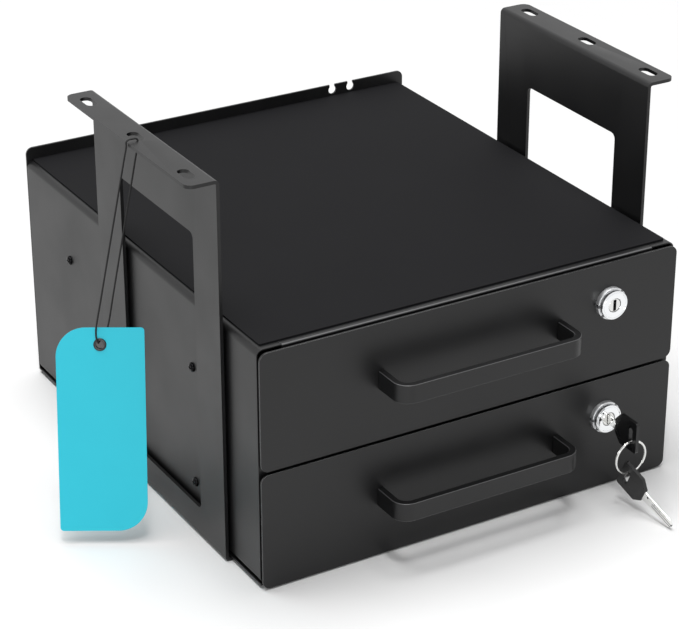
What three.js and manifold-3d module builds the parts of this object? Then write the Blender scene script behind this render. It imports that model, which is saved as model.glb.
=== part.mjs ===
// Under desk drawer safe: a steel cabinet with two locking drawers, hung on two side brackets.
// Millimetres. X runs left to right, Y front to back, Z up.

import * as THREE from 'three';
import { mergeVertices } from 'three/addons/utils/BufferGeometryUtils.js';
import Module from 'manifold-3d';

const wasm = await Module();
wasm.setup();

// Driving dimensions

// Cabinet
const cabinetWidth = 340;
const shellHeight = 181;
const shellDepth = 371.5;
const shellSheet = 1.2;
const shellBendInside = 3.8;
const shellHem = 9;
const bottomSheet = 1.5;
const rearSheet = 1.5;
const rearLip = 10.6;
const rearCornerRadius = 5.5;
const matThickness = 1.3;
const matSideInset = 5;
const matFrontInset = 5;
const matRearGap = 0.3;
const foldRelief = 19;
const foldDrop = 9;
const foldDepth = 14;
const foldBendInside = 0.8;

// Cable notches in the rear lip
const notchDiameter = 7;
const notchMouth = 5;
const notchDrop = 4.4;
const notchFromRight = [50.4, 67.4];

// Drawer fronts
const frontGap = 2.4;
const frontTopGap = 1.5;
const frontFootDrop = 1.4;
const frontThickness = 1.5;
const frontStandOff = 2.5;
const frontCornerRadius = 6;

// Drawer boxes
const boxSheet = 1.2;
const boxDepth = 355;
const boxFloorLevel = 10;
const boxBelowFrontTop = 11;

// Ball bearing slides
const slideLength = 350;
const slideLevel = 35;
const slideSetBack = 4;
const slideThickness = 12.7;
const slideSheet = 1.2;
const outerRailHeight = 35;
const outerRailFlange = 9.5;
const innerRailHeight = 20;
const innerRailFlange = 8.7;
const railBendInside = 0.5;
const ballDiameter = 5.6;
const cageSheet = 0.6;
const cageFromWall = 2;
const cageFlange = 6.8;
const cageLength = 90;
const ballsPerRow = 5;
const cageEndMargin = 8;

// Screws that hold the slides to the side walls
const slideScrewDiameter = 3.9;
const slideScrewHead = 7;
const slideScrewHeadHeight = 2.2;
const domeRimHeightShare = 0.35;
const domeShoulderHeightShare = 0.8;
const domeShoulderRadiusShare = 0.8;
const domeCrownRadiusShare = 0.4;
const slideScrewFromRailFront = [90.5, 293.5];
const screwClearance = 0.3;

// How far a cutting solid runs past the face it opens
const cutPast = 1;

// Brackets
const bracketSheet = 2.5;
const bracketBendInside = 1.2;
const bracketWidth = 189;
const bracketSetBack = 46.5;
const bracketSideGap = 2;
const bracketHeight = 289.4;
const flangeReach = 21;
const flangeCornerRadius = 6;
const footReach = 32;
const windowWidth = 112.8;
const windowFromFront = 36.2;
const windowBottom = 24.3;
const windowTop = 238;
const windowRadius = 2.5;
const slotLength = 17.5;
const slotWidth = 8;
const slotPitch = 75.2;
const slotFromPlate = 11.5;
const slotCount = 3;
const footScrewDiameter = 4.9;
const footScrewHead = 9;
const footScrewLength = 8;
const footScrewSpacing = 150;
const footScrewFromPlate = 19.2;

// Handles
const handleLength = 152;
const handleOffset = -3;
const handleReach = 30;
const handleBarHeight = 14;
const handleBarThickness = 5;
const handleOuterRadius = 12;
const handleBelowFrontTop = 42.6;
const handleScrewDiameter = 2.8;
const handleScrewHead = 7;
const handleScrewHeadHeight = 2;
const panRimHeightShare = 0.4;
const panTopRadiusShare = 0.7;
const handleScrewBite = 8;

// Locks
const lockFromSide = 57.7;
const lockBelowFrontTop = 31.05;
const lockFaceDiameter = 22;
const lockHeadThickness = 2.6;
const lockHeadChamferShare = 0.2;
const lockNeckDiameter = 19.4;
const lockNeckLength = 0.6;
const lockBarrelDiameter = 16;
const lockBarrelLength = 22.6;
const lockFaceGrooveDiameter = 19.2;
const lockFaceGrooveWidth = 0.5;
const lockFaceGrooveDepth = 0.3;
const trimRingDiameter = 24.4;
const trimRingThickness = 3.5;
const trimRingChamfer = 0.5;
const trimNotchWidth = 2.6;
const trimNotchDepth = 2;
const trimNotchAngles = [0, 45, 180, 225];
const lockNutAcrossFlats = 20;
const lockNutThickness = 4;
const lockNutFlats = 6;
const plugDiameter = 10;
const plugRecess = 0.4;
const plugTailDiameter = 6;
const plugTailHeadDiameter = 9;
const plugTailHeadThickness = 1.6;
const camThickness = 2.5;
const camWidth = 12;
const camReach = 27;
const camCornerRadius = 2;
const camFreePlay = 0.4;
const strikeThickness = 1.4;
const strikeWidth = 30;
const strikeFreePlay = 1;
const strikeOverlap = 3.8;
const runningClearance = 0.3;

// Divider rail between the two drawers
const dividerBehindUpperFront = 7.3;

// Keys
const keyBladeWidth = 8;
const keyBladeThickness = 2;
const keyBladeLength = 30;
const keyInsertion = 21;
const keyTangLength = 6;
const keyTangThickness = 1.4;
const keyTangWidth = 6;
const keyTipChamfer = 2.4;
const keyGrooveWidth = 0.9;
const keyGrooveDepth = 0.35;
const keyGrooveOffset = 1.3;
const keyGrooveStartShare = 0.3;
const keyHeadLength = 25.5;
const keyHeadWidth = 24;
const keyHeadThickness = 2.6;
const keyHeadNeckWidth = 9;
const keyHeadShoulder = 6.5;
const keyHoleLength = 12.6;
const keyHoleWidth = 4.2;
const keyHoleFromEnd = 6.5;
const keyRingDiameter = 25.4;
const keyRingWire = 1.6;
const spareKeyYaw = 10;
const spareKeyRoll = 6;

// Hang tag
const tagWidth = 62;
const tagHeight = 147;
const tagThickness = 1;
const tagCorner = 21;
const tagSmallCorner = 2.5;
const tagYaw = 30;
const tagTilt = 14;
const tagHoleFromTop = 12;
const tagSwing = 10.45;
const tagHoleDrop = 147.2;
const eyeletBore = 5.6;
const eyeletBarrel = 6.6;
const eyeletRim = 9.2;
const eyeletRimThickness = 0.6;
const stringDiameter = 1.3;

// Sides and steps that round forms are drawn with
const curveStepsUsual = 12;
const rodSidesUsual = 24;
const boreSidesUsual = 32;
const turnedSidesUsual = 40;
const bendStepsUsual = 4;
const shellBendSteps = 6;
const plateCornerSteps = 6;
const notchSides = 20;
const screwSides = 10;
const screwHoleSides = 16;
const footScrewSides = 14;
const railBendSteps = 3;
const cageBendSteps = 2;
const ballSides = 6;
const ballRows = 4;
const bracketBendSteps = 5;
const windowCornerSteps = 4;
const slotEndSteps = 5;
const flangeCornerSteps = 5;
const handleBendSteps = 8;
const lockBodySides = 30;
const trimRingSides = 36;
const plugSides = 28;
const keyHoleEndSteps = 4;
const keyRingWireSides = 6;
const keyRingSides = 36;
const tagCornerSteps = 8;
const tagHoleSides = 24;
const eyeletSides = 20;
const stringSides = 8;
const stringStepsPerPoint = 3;

// How near two corners of a mesh lie when they are one
const weldDistance = 1e-4;

// Derived sizes
const halfWidth = cabinetWidth / 2;
const shellFront = frontThickness + frontStandOff;
const shellBack = shellFront + shellDepth;
const cabinetBack = shellBack + rearSheet;
const frontHeight = (shellHeight - frontTopGap + frontFootDrop - frontGap) / 2;
const frontTopLevel = frontHeight - frontFootDrop;
const drawerPitch = frontHeight + frontGap;
const boxTopLevel = frontTopLevel - boxBelowFrontTop;
const handleLevel = frontTopLevel - handleBelowFrontTop;
const lockOffset = cabinetWidth / 2 - lockFromSide;
const lockLevel = frontTopLevel - lockBelowFrontTop;
const dividerTopLevel = drawerPitch + dividerBehindUpperFront;
const innerHalfWidth = halfWidth - shellSheet;
const boxHalfWidth = innerHalfWidth - slideThickness;
const slideFront = shellFront + slideSetBack;
const plateInner = halfWidth + bracketSideGap;
const plateOuter = plateInner + bracketSheet;
const flangeEdge = plateOuter + flangeReach;
const slotCentre = plateOuter + slotFromPlate;
const bracketMiddle = bracketSetBack + bracketWidth / 2;
const lockHeadBack = -trimRingThickness - lockNeckLength;
const lockFace = lockHeadBack - lockHeadThickness;
const barrelEnd = lockBarrelLength - trimRingThickness - lockNeckLength;
const camFront = barrelEnd + camFreePlay;
const strikeBack = camFront - strikeFreePlay;
const strikeFront = strikeBack - strikeThickness;
const dividerBottomLevel = lockLevel + camReach - strikeOverlap;

// Colours of the finishes
const blackSteel = { color: 0x2e2e30, roughness: 0.55, metalness: 0.35 };
const frontSteel = { color: 0x333335, roughness: 0.5, metalness: 0.3 };
const matFinish = { color: 0x2b2b2d, roughness: 0.9, metalness: 0 };
const zincSteel = { color: 0xb4b6b8, roughness: 0.35, metalness: 0.9 };
const chrome = { color: 0xd8dadc, roughness: 0.12, metalness: 1 };
const brass = { color: 0xb5a36a, roughness: 0.35, metalness: 0.9 };
const blackPlastic = { color: 0x161617, roughness: 0.45, metalness: 0 };
const blackScrew = { color: 0x141415, roughness: 0.4, metalness: 0.5 };
const nickel = { color: 0xc9cacb, roughness: 0.22, metalness: 1 };
const tagCard = { color: 0x35c6d8, roughness: 0.6, metalness: 0 };
const tagBlack = { color: 0x101011, roughness: 0.6, metalness: 0 };

// The same triangles with no shared corners
function separated(geometry) {
  return geometry.index ? geometry.toNonIndexed() : geometry.clone();
}

// A closed three.js geometry as a solid that can be joined and cut
function solidFrom(geometry) {
  const bare = separated(geometry);
  bare.deleteAttribute('normal');
  bare.deleteAttribute('uv');
  const merged = mergeVertices(bare, weldDistance);
  return new wasm.Manifold(new wasm.Mesh({
    numProp: 3,
    vertProperties: new Float32Array(merged.attributes.position.array),
    triVerts: new Uint32Array(merged.index.array),
  }));
}

function geometryFrom(solid) {
  const mesh = solid.getMesh();
  const geometry = new THREE.BufferGeometry();
  geometry.setAttribute('position', new THREE.BufferAttribute(mesh.vertProperties, 3));
  geometry.setIndex(new THREE.BufferAttribute(mesh.triVerts, 1));
  geometry.computeVertexNormals();
  return geometry;
}

function joined(...geometries) {
  const solids = geometries.map(solidFrom);
  return geometryFrom(solids.reduce((whole, solid) => whole.add(solid)));
}

function cut(geometry, ...tools) {
  let solid = solidFrom(geometry);
  for (const tool of tools) {
    solid = solid.subtract(solidFrom(tool));
  }
  return geometryFrom(solid);
}

// A box between two corners
function block([x0, y0, z0], [x1, y1, z1]) {
  const box = new THREE.BoxGeometry(x1 - x0, y1 - y0, z1 - z0);
  return box.translate((x0 + x1) / 2, (y0 + y1) / 2, (z0 + z1) / 2);
}

// A flat outline drawn in Y and Z, carried along X
function prismAlongX(shape, start, end, curveSegments = curveStepsUsual) {
  const settings = { depth: end - start, bevelEnabled: false, curveSegments };
  const turn = new THREE.Matrix4().makeBasis(
    new THREE.Vector3(0, 1, 0),
    new THREE.Vector3(0, 0, 1),
    new THREE.Vector3(1, 0, 0),
  );
  return new THREE.ExtrudeGeometry(shape, settings).applyMatrix4(turn).translate(start, 0, 0);
}

// A flat outline drawn in X and Z, carried along Y
function prismAlongY(shape, start, end, curveSegments = curveStepsUsual) {
  const settings = { depth: end - start, bevelEnabled: false, curveSegments };
  const turn = new THREE.Matrix4().makeBasis(
    new THREE.Vector3(1, 0, 0),
    new THREE.Vector3(0, 0, 1),
    new THREE.Vector3(0, -1, 0),
  );
  return new THREE.ExtrudeGeometry(shape, settings).applyMatrix4(turn).translate(0, end, 0);
}

// A flat outline drawn in X and Y, carried along Z
function prismAlongZ(shape, start, end, curveSegments = curveStepsUsual) {
  const settings = { depth: end - start, bevelEnabled: false, curveSegments };
  return new THREE.ExtrudeGeometry(shape, settings).translate(0, 0, start);
}

function rodAlongX(radius, start, end, y, z, sides = rodSidesUsual) {
  const rod = new THREE.CylinderGeometry(radius, radius, end - start, sides).rotateZ(Math.PI / 2);
  return rod.translate((start + end) / 2, y, z);
}

function rodAlongY(radius, start, end, x, z, sides = boreSidesUsual) {
  const rod = new THREE.CylinderGeometry(radius, radius, end - start, sides);
  return rod.translate(x, (start + end) / 2, z);
}

function rodAlongZ(radius, start, end, x, y, sides = rodSidesUsual) {
  const rod = new THREE.CylinderGeometry(radius, radius, end - start, sides).rotateX(Math.PI / 2);
  return rod.translate(x, y, (start + end) / 2);
}

// A profile of radius and height turned about the Y axis
function turnedAboutY(profile, sides = turnedSidesUsual) {
  return new THREE.LatheGeometry(profile.map(([r, y]) => new THREE.Vector2(r, y)), sides);
}

// A rectangle between two corners, each corner rounded by its own radius:
// low left, low right, high right, high left
function roundedRectangle(x0, y0, x1, y1, radii) {
  const [a, b, c, d] = radii;
  const shape = new THREE.Shape();
  const quarter = Math.PI / 2;
  shape.moveTo(x0 + a, y0);
  shape.lineTo(x1 - b, y0);
  if (b > 0) shape.absarc(x1 - b, y0 + b, b, -quarter, 0);
  shape.lineTo(x1, y1 - c);
  if (c > 0) shape.absarc(x1 - c, y1 - c, c, 0, quarter);
  shape.lineTo(x0 + d, y1);
  if (d > 0) shape.absarc(x0 + d, y1 - d, d, quarter, 2 * quarter);
  shape.lineTo(x0, y0 + a);
  if (a > 0) shape.absarc(x0 + a, y0 + a, a, 2 * quarter, 3 * quarter);
  return shape;
}

// The section of a sheet bent along its middle line, with arcs at the bends
function bentSheet(line, sheet, bendInside, steps = bendStepsUsual) {
  const points = line.map(([u, v]) => new THREE.Vector2(u, v));
  const middleRadius = bendInside + sheet / 2;
  const left = [];
  const right = [];
  const place = (centre, direction, out) => {
    const normal = new THREE.Vector2(-direction.y, direction.x);
    left.push(centre.clone().addScaledVector(normal, out));
    right.push(centre.clone().addScaledVector(normal, -out));
  };
  const last = points.length - 1;
  const heading = (i) => points[i + 1].clone().sub(points[i]).normalize();
  place(points[0], heading(0), sheet / 2);
  for (let i = 1; i < last; i += 1) {
    const before = heading(i - 1);
    const after = heading(i);
    const turn = Math.atan2(before.cross(after), before.dot(after));
    const side = Math.sign(turn);
    const tangent = middleRadius * Math.tan(Math.abs(turn) / 2);
    const start = points[i].clone().addScaledVector(before, -tangent);
    const inward = new THREE.Vector2(-before.y, before.x).multiplyScalar(side);
    const centre = start.clone().addScaledVector(inward, middleRadius);
    for (let k = 0; k <= steps; k += 1) {
      const angle = (turn * k) / steps;
      const direction = before.clone().rotateAround(new THREE.Vector2(), angle);
      const spoke = new THREE.Vector2(-direction.y, direction.x).multiplyScalar(-side);
      place(centre.clone().addScaledVector(spoke, middleRadius), direction, sheet / 2);
    }
  }
  place(points[last], heading(last - 1), sheet / 2);
  return new THREE.Shape([...left, ...right.reverse()]);
}

function mirroredInX(geometry) {
  const flipped = separated(geometry).scale(-1, 1, 1);
  const position = flipped.attributes.position;
  const corner = new THREE.Vector3();
  const other = new THREE.Vector3();
  for (let i = 0; i < position.count; i += 3) {
    corner.fromBufferAttribute(position, i + 1);
    other.fromBufferAttribute(position, i + 2);
    position.setXYZ(i + 1, other.x, other.y, other.z);
    position.setXYZ(i + 2, corner.x, corner.y, corner.z);
  }
  return geometryFrom(solidFrom(flipped));
}

function piece(name, geometry, finish) {
  const mesh = new THREE.Mesh(geometry, new THREE.MeshStandardMaterial(finish));
  mesh.name = name;
  return mesh;
}

function sided(side, geometry) {
  return side === 'left' ? mirroredInX(geometry) : geometry;
}

// Cabinet shell: one sheet bent into two hems, two sides and the top, with a folded front edge
function cabinetShell() {
  const half = shellSheet / 2;
  const side = halfWidth - half;
  const low = bottomSheet + half;
  const high = shellHeight - half;
  const section = bentSheet([
    [-side + shellHem, low],
    [-side, low],
    [-side, high],
    [side, high],
    [side, low],
    [side - shellHem, low],
  ], shellSheet, shellBendInside, shellBendSteps);
  const wrap = prismAlongY(section, shellFront, shellBack);
  const foldHalf = halfWidth - foldRelief;
  const foldEdge = shellFront + foldDepth;
  const opened = cut(
    wrap,
    block(
      [-foldHalf, shellFront - cutPast, shellHeight - 2 * shellSheet],
      [foldHalf, foldEdge - cutPast, shellHeight + cutPast],
    ),
    ...slideScrewPlaces().map(({ y, z }) => rodAlongX(
      slideScrewDiameter / 2 + screwClearance,
      -halfWidth - cutPast,
      halfWidth + cutPast,
      y,
      z,
      screwHoleSides,
    )),
  );
  const fold = prismAlongX(bentSheet([
    [foldEdge, high],
    [shellFront + half, high],
    [shellFront + half, shellHeight - foldDrop],
  ], shellSheet, foldBendInside), -foldHalf, foldHalf);
  const strikeLow = drawerPitch + lockLevel + camReach - strikeOverlap;
  const strike = block(
    [lockOffset - strikeWidth / 2, strikeFront, strikeLow],
    [lockOffset + strikeWidth / 2, strikeBack, high],
  );
  return joined(opened, fold, strike);
}

function bottomPlate() {
  const plate = block([-halfWidth, shellFront, 0], [halfWidth, shellBack, bottomSheet]);
  const holes = footScrewPlaces().map(({ x, y }) => rodAlongZ(
    footScrewDiameter / 2 + screwClearance,
    -cutPast,
    bottomSheet + cutPast,
    x,
    y,
  ));
  return cut(plate, ...holes);
}

// Rear panel with a raised lip and two keyhole notches for cables
function rearPanel() {
  const top = shellHeight + rearLip;
  const outline = roundedRectangle(
    -halfWidth,
    0,
    halfWidth,
    top,
    [0, 0, rearCornerRadius, rearCornerRadius],
  );
  const panel = prismAlongY(outline, shellBack, cabinetBack, plateCornerSteps);
  const tools = [];
  for (const inset of notchFromRight) {
    const x = halfWidth - inset;
    const z = top - notchDrop;
    tools.push(rodAlongY(
      notchDiameter / 2,
      shellBack - cutPast,
      cabinetBack + cutPast,
      x,
      z,
      notchSides,
    ));
    tools.push(block(
      [x - notchMouth / 2, shellBack - cutPast, z],
      [x + notchMouth / 2, cabinetBack + cutPast, top + cutPast],
    ));
  }
  return cut(panel, ...tools);
}

function topMat() {
  const half = halfWidth - matSideInset;
  return block(
    [-half, shellFront + matFrontInset, shellHeight],
    [half, shellBack - matRearGap, shellHeight + matThickness],
  );
}

// Divider rail: a channel open downwards that the lower lock's cam catches behind
function dividerRail() {
  const half = strikeThickness / 2;
  const high = dividerTopLevel - half;
  const section = bentSheet([
    [shellFront + half, dividerBottomLevel],
    [shellFront + half, high],
    [strikeBack - half, high],
    [strikeBack - half, dividerBottomLevel],
  ], strikeThickness, foldBendInside);
  return prismAlongX(section, -innerHalfWidth, innerHalfWidth);
}

function slideScrewPlaces() {
  const places = [];
  for (const level of [0, drawerPitch]) {
    for (const back of slideScrewFromRailFront) {
      places.push({ y: slideFront + back, z: level + slideLevel });
    }
  }
  return places;
}

// Slide screw: domed head outside the right wall, shank through the wall and the rail
function slideScrew() {
  const radius = slideScrewHead / 2;
  const shank = slideScrewDiameter / 2;
  const reach = shellSheet + slideSheet;
  const profile = [
    [0, -reach],
    [shank, -reach],
    [shank, 0],
    [radius, 0],
    [radius, slideScrewHeadHeight * domeRimHeightShare],
    [radius * domeShoulderRadiusShare, slideScrewHeadHeight * domeShoulderHeightShare],
    [radius * domeCrownRadiusShare, slideScrewHeadHeight],
    [0, slideScrewHeadHeight],
  ];
  return turnedAboutY(profile, screwSides).rotateZ(-Math.PI / 2).translate(halfWidth, 0, 0);
}

// Outer rail: a channel screwed flat to the inside of the right wall, drawn about its own middle height
function outerRail() {
  const half = slideSheet / 2;
  const wall = innerHalfWidth;
  const top = outerRailHeight / 2 - half;
  const section = bentSheet([
    [wall - outerRailFlange, top],
    [wall - half, top],
    [wall - half, -top],
    [wall - outerRailFlange, -top],
  ], slideSheet, railBendInside, railBendSteps);
  const rail = prismAlongY(section, slideFront, slideFront + slideLength);
  const holes = slideScrewFromRailFront.map((back) => rodAlongX(
    slideScrewDiameter / 2 + screwClearance,
    wall - outerRailFlange,
    wall + cutPast,
    slideFront + back,
    0,
    screwHoleSides,
  ));
  return cut(rail, ...holes);
}

// Inner rail: a narrower channel fixed to the drawer's right side
function innerRail() {
  const half = slideSheet / 2;
  const top = innerRailHeight / 2 - half;
  const section = bentSheet([
    [boxHalfWidth + innerRailFlange, top],
    [boxHalfWidth + half, top],
    [boxHalfWidth + half, -top],
    [boxHalfWidth + innerRailFlange, -top],
  ], slideSheet, railBendInside, railBendSteps);
  return prismAlongY(section, slideFront, slideFront + slideLength);
}

// Ball cage: a thin channel that holds a row of balls above and below the inner rail
function ballCage() {
  const half = cageSheet / 2;
  const web = innerHalfWidth - cageFromWall - half;
  const outerFace = outerRailHeight / 2 - slideSheet;
  const innerFace = innerRailHeight / 2;
  const level = (outerFace + innerFace) / 2;
  const section = bentSheet([
    [web - cageFlange, level],
    [web, level],
    [web, -level],
    [web - cageFlange, -level],
  ], cageSheet, railBendInside, cageBendSteps);
  const middle = slideFront + slideLength / 2;
  const start = middle - cageLength / 2;
  const strip = prismAlongY(section, start, start + cageLength);
  const pitch = (cageLength - 2 * cageEndMargin) / (ballsPerRow - 1);
  const balls = [];
  for (let i = 0; i < ballsPerRow; i += 1) {
    for (const side of [-1, 1]) {
      const ball = new THREE.SphereGeometry(ballDiameter / 2, ballSides, ballRows);
      ball.translate(web - cageFlange / 2, start + cageEndMargin + i * pitch, side * level);
      balls.push(ball);
    }
  }
  return joined(strip, ...balls);
}

function footScrewPlaces() {
  const places = [];
  const inset = plateOuter - footScrewFromPlate;
  for (const side of [-1, 1]) {
    for (const along of [-footScrewSpacing / 2, footScrewSpacing / 2]) {
      places.push({ side, x: side * inset, y: bracketMiddle + along });
    }
  }
  return places;
}

// Countersunk screw, head flush with the underside of the foot, drawn point up at the origin
function footScrew() {
  const head = footScrewHead / 2;
  const shank = footScrewDiameter / 2;
  const sink = head - shank;
  const profile = [
    [0, 0],
    [head, 0],
    [shank, sink],
    [shank, footScrewLength],
    [0, footScrewLength],
  ];
  return turnedAboutY(profile, footScrewSides).rotateX(Math.PI / 2);
}

function footScrewTool() {
  const head = footScrewHead / 2 + screwClearance;
  const shank = footScrewDiameter / 2 + screwClearance;
  const sink = head - shank;
  const profile = [
    [0, -cutPast],
    [head, -cutPast],
    [head, 0],
    [shank, sink],
    [shank, bracketSheet + cutPast],
    [0, bracketSheet + cutPast],
  ];
  return turnedAboutY(profile, footScrewSides).rotateX(Math.PI / 2);
}

// Right bracket, standing on the floor: foot, windowed plate and outward top flange
function bracket() {
  const half = bracketSheet / 2;
  const section = bentSheet([
    [plateOuter - footReach, half],
    [plateOuter - half, half],
    [plateOuter - half, bracketHeight - half],
    [flangeEdge, bracketHeight - half],
  ], bracketSheet, bracketBendInside, bracketBendSteps);
  const back = bracketSetBack + bracketWidth;
  const strip = prismAlongY(section, bracketSetBack, back);
  const r = windowRadius;
  const windowFront = bracketSetBack + windowFromFront;
  const window = roundedRectangle(
    windowFront,
    windowBottom,
    windowFront + windowWidth,
    windowTop,
    [r, r, r, r],
  );
  const tools = [prismAlongX(window, plateInner - cutPast, plateOuter + cutPast, windowCornerSteps)];
  const flangeLow = bracketHeight - bracketSheet - cutPast;
  const flangeHigh = bracketHeight + cutPast;
  for (let i = 0; i < slotCount; i += 1) {
    const y = bracketMiddle + (i - (slotCount - 1) / 2) * slotPitch;
    const radius = slotWidth / 2;
    const slot = roundedRectangle(
      slotCentre - radius,
      y - slotLength / 2,
      slotCentre + radius,
      y + slotLength / 2,
      [radius, radius, radius, radius],
    );
    tools.push(prismAlongZ(slot, flangeLow, flangeHigh, slotEndSteps));
  }
  for (const { side, x, y } of footScrewPlaces()) {
    if (side > 0) tools.push(footScrewTool().translate(x, y, 0));
  }
  const sharp = block(
    [flangeEdge - flangeCornerRadius, bracketSetBack - cutPast, flangeLow],
    [flangeEdge + cutPast, back + cutPast, flangeHigh],
  );
  const round = prismAlongZ(roundedRectangle(
    plateInner - footReach,
    bracketSetBack,
    flangeEdge,
    back,
    [0, flangeCornerRadius, flangeCornerRadius, 0],
  ), flangeLow - cutPast, flangeHigh + cutPast, flangeCornerSteps);
  tools.push(cut(sharp, round));
  return cut(strip, ...tools);
}

function drawerFront() {
  const r = frontCornerRadius;
  const outline = roundedRectangle(-halfWidth, -frontFootDrop, halfWidth, frontTopLevel, [r, r, r, r]);
  const plate = prismAlongY(outline, 0, frontThickness, plateCornerSteps);
  return cut(plate, ...frontHoleTools());
}

// The lock and handle screw holes that pass through the drawer front and the box behind it
function frontHoleTools() {
  const through = frontThickness + boxSheet + cutPast;
  const barrelHole = lockBarrelDiameter / 2 + runningClearance;
  const tools = [rodAlongY(barrelHole, -cutPast, through, lockOffset, lockLevel)];
  for (const x of handleLegPlaces()) {
    const screwHole = handleScrewDiameter / 2 + screwClearance;
    tools.push(rodAlongY(screwHole, -cutPast, through, x, handleLevel, screwHoleSides));
  }
  return tools;
}

// Drawer box: an open tray whose front wall lies flat against the drawer front
function drawerBox() {
  const top = boxTopLevel;
  const back = frontThickness + boxDepth;
  const tray = block([-boxHalfWidth, frontThickness, boxFloorLevel], [boxHalfWidth, back, top]);
  const hollow = block(
    [-boxHalfWidth + boxSheet, frontThickness + boxSheet, boxFloorLevel + boxSheet],
    [boxHalfWidth - boxSheet, back - boxSheet, top + cutPast],
  );
  return cut(tray, hollow, ...frontHoleTools());
}

function handleLegPlaces() {
  const inset = handleLength / 2 - handleBarThickness / 2;
  return [handleOffset - inset, handleOffset + inset];
}

// Handle: a flat bar bent into a shallow U, legs square to the drawer front
function handle() {
  const [left, right] = handleLegPlaces();
  const middle = -handleReach + handleBarThickness / 2;
  const bend = handleOuterRadius - handleBarThickness;
  const section = bentSheet([
    [left, 0],
    [left, middle],
    [right, middle],
    [right, 0],
  ], handleBarThickness, bend, handleBendSteps);
  const half = handleBarHeight / 2;
  const bar = prismAlongZ(section, handleLevel - half, handleLevel + half);
  const holes = [left, right].map((x) => rodAlongY(
    handleScrewDiameter / 2 + screwClearance,
    -handleScrewBite - cutPast,
    cutPast,
    x,
    handleLevel,
    screwHoleSides,
  ));
  return cut(bar, ...holes);
}

// Handle screw: head inside the drawer box, shank forward into the handle's leg
function handleScrew() {
  const wall = frontThickness + boxSheet;
  const radius = handleScrewHead / 2;
  const shank = handleScrewDiameter / 2;
  const profile = [
    [0, -handleScrewBite],
    [shank, -handleScrewBite],
    [shank, wall],
    [radius, wall],
    [radius, wall + handleScrewHeadHeight * panRimHeightShare],
    [radius * panTopRadiusShare, wall + handleScrewHeadHeight],
    [0, wall + handleScrewHeadHeight],
  ];
  return turnedAboutY(profile, screwSides);
}

// Lock body about its own axis: face disc, neck and threaded barrel round the plug's bore
function lockBody() {
  const face = lockFaceDiameter / 2;
  const bore = plugDiameter / 2 + runningClearance;
  const groove = lockFaceGrooveDiameter / 2;
  const floor = lockFace + lockFaceGrooveDepth;
  const edge = lockHeadThickness * lockHeadChamferShare;
  return turnedAboutY([
    [bore, lockFace],
    [groove - lockFaceGrooveWidth / 2, lockFace],
    [groove - lockFaceGrooveWidth / 2, floor],
    [groove + lockFaceGrooveWidth / 2, floor],
    [groove + lockFaceGrooveWidth / 2, lockFace],
    [face - edge, lockFace],
    [face, lockFace + edge],
    [face, lockHeadBack],
    [lockNeckDiameter / 2, lockHeadBack],
    [lockNeckDiameter / 2, -trimRingThickness],
    [lockBarrelDiameter / 2, -trimRingThickness],
    [lockBarrelDiameter / 2, barrelEnd],
    [bore, barrelEnd],
    [bore, lockFace],
  ], lockBodySides);
}

// Trim ring: a notched collar between the lock's face and the drawer front
function trimRing() {
  const outer = trimRingDiameter / 2;
  const ring = turnedAboutY([
    [lockBarrelDiameter / 2 + runningClearance, -trimRingThickness],
    [outer - trimRingChamfer, -trimRingThickness],
    [outer, -trimRingThickness + trimRingChamfer],
    [outer, 0],
    [lockBarrelDiameter / 2 + runningClearance, 0],
    [lockBarrelDiameter / 2 + runningClearance, -trimRingThickness],
  ], trimRingSides);
  const notches = trimNotchAngles.map((degrees) => block(
    [outer - trimNotchDepth, -trimRingThickness - cutPast, -trimNotchWidth / 2],
    [outer + cutPast, cutPast, trimNotchWidth / 2],
  ).rotateY(-THREE.MathUtils.degToRad(degrees)));
  return cut(ring, ...notches);
}

function lockNut() {
  const wall = frontThickness + boxSheet;
  const corner = lockNutAcrossFlats / 2 / Math.cos(Math.PI / lockNutFlats);
  const hexagon = rodAlongY(corner, wall, wall + lockNutThickness, 0, 0, lockNutFlats);
  const hole = lockBarrelDiameter / 2 + runningClearance;
  const bore = rodAlongY(hole, wall - cutPast, wall + lockNutThickness + cutPast, 0, 0);
  return cut(hexagon, bore);
}

// Lock plug: a cylinder with a keyway, a tail through the cam and a peened end
function lockPlug() {
  const front = lockFace + plugRecess;
  const tailEnd = camFront + camThickness;
  const body = turnedAboutY([
    [0, front],
    [plugDiameter / 2, front],
    [plugDiameter / 2, barrelEnd],
    [plugTailDiameter / 2, barrelEnd],
    [plugTailDiameter / 2, tailEnd + runningClearance],
    [plugTailHeadDiameter / 2, tailEnd + runningClearance],
    [plugTailHeadDiameter / 2, tailEnd + runningClearance + plugTailHeadThickness],
    [0, tailEnd + runningClearance + plugTailHeadThickness],
  ], plugSides);
  const halfSlot = keyBladeThickness / 2 + runningClearance;
  const halfHeight = keyBladeWidth / 2 + runningClearance;
  const keyway = block(
    [-halfSlot, front - cutPast, -halfHeight],
    [halfSlot, lockFace + keyInsertion + runningClearance, halfHeight],
  );
  return cut(body, keyway);
}

// Cam at rest: points right, clear of its strike
function lockCam() {
  const half = camWidth / 2;
  const r = camCornerRadius;
  const outline = roundedRectangle(-half, -half, camReach, half, [half, r, r, half]);
  const plate = prismAlongY(outline, camFront, camFront + camThickness, plateCornerSteps);
  const radius = plugTailDiameter / 2 + runningClearance;
  const hole = rodAlongY(radius, camFront - cutPast, camFront + camThickness + cutPast, 0, 0);
  return cut(plate, hole);
}

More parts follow.
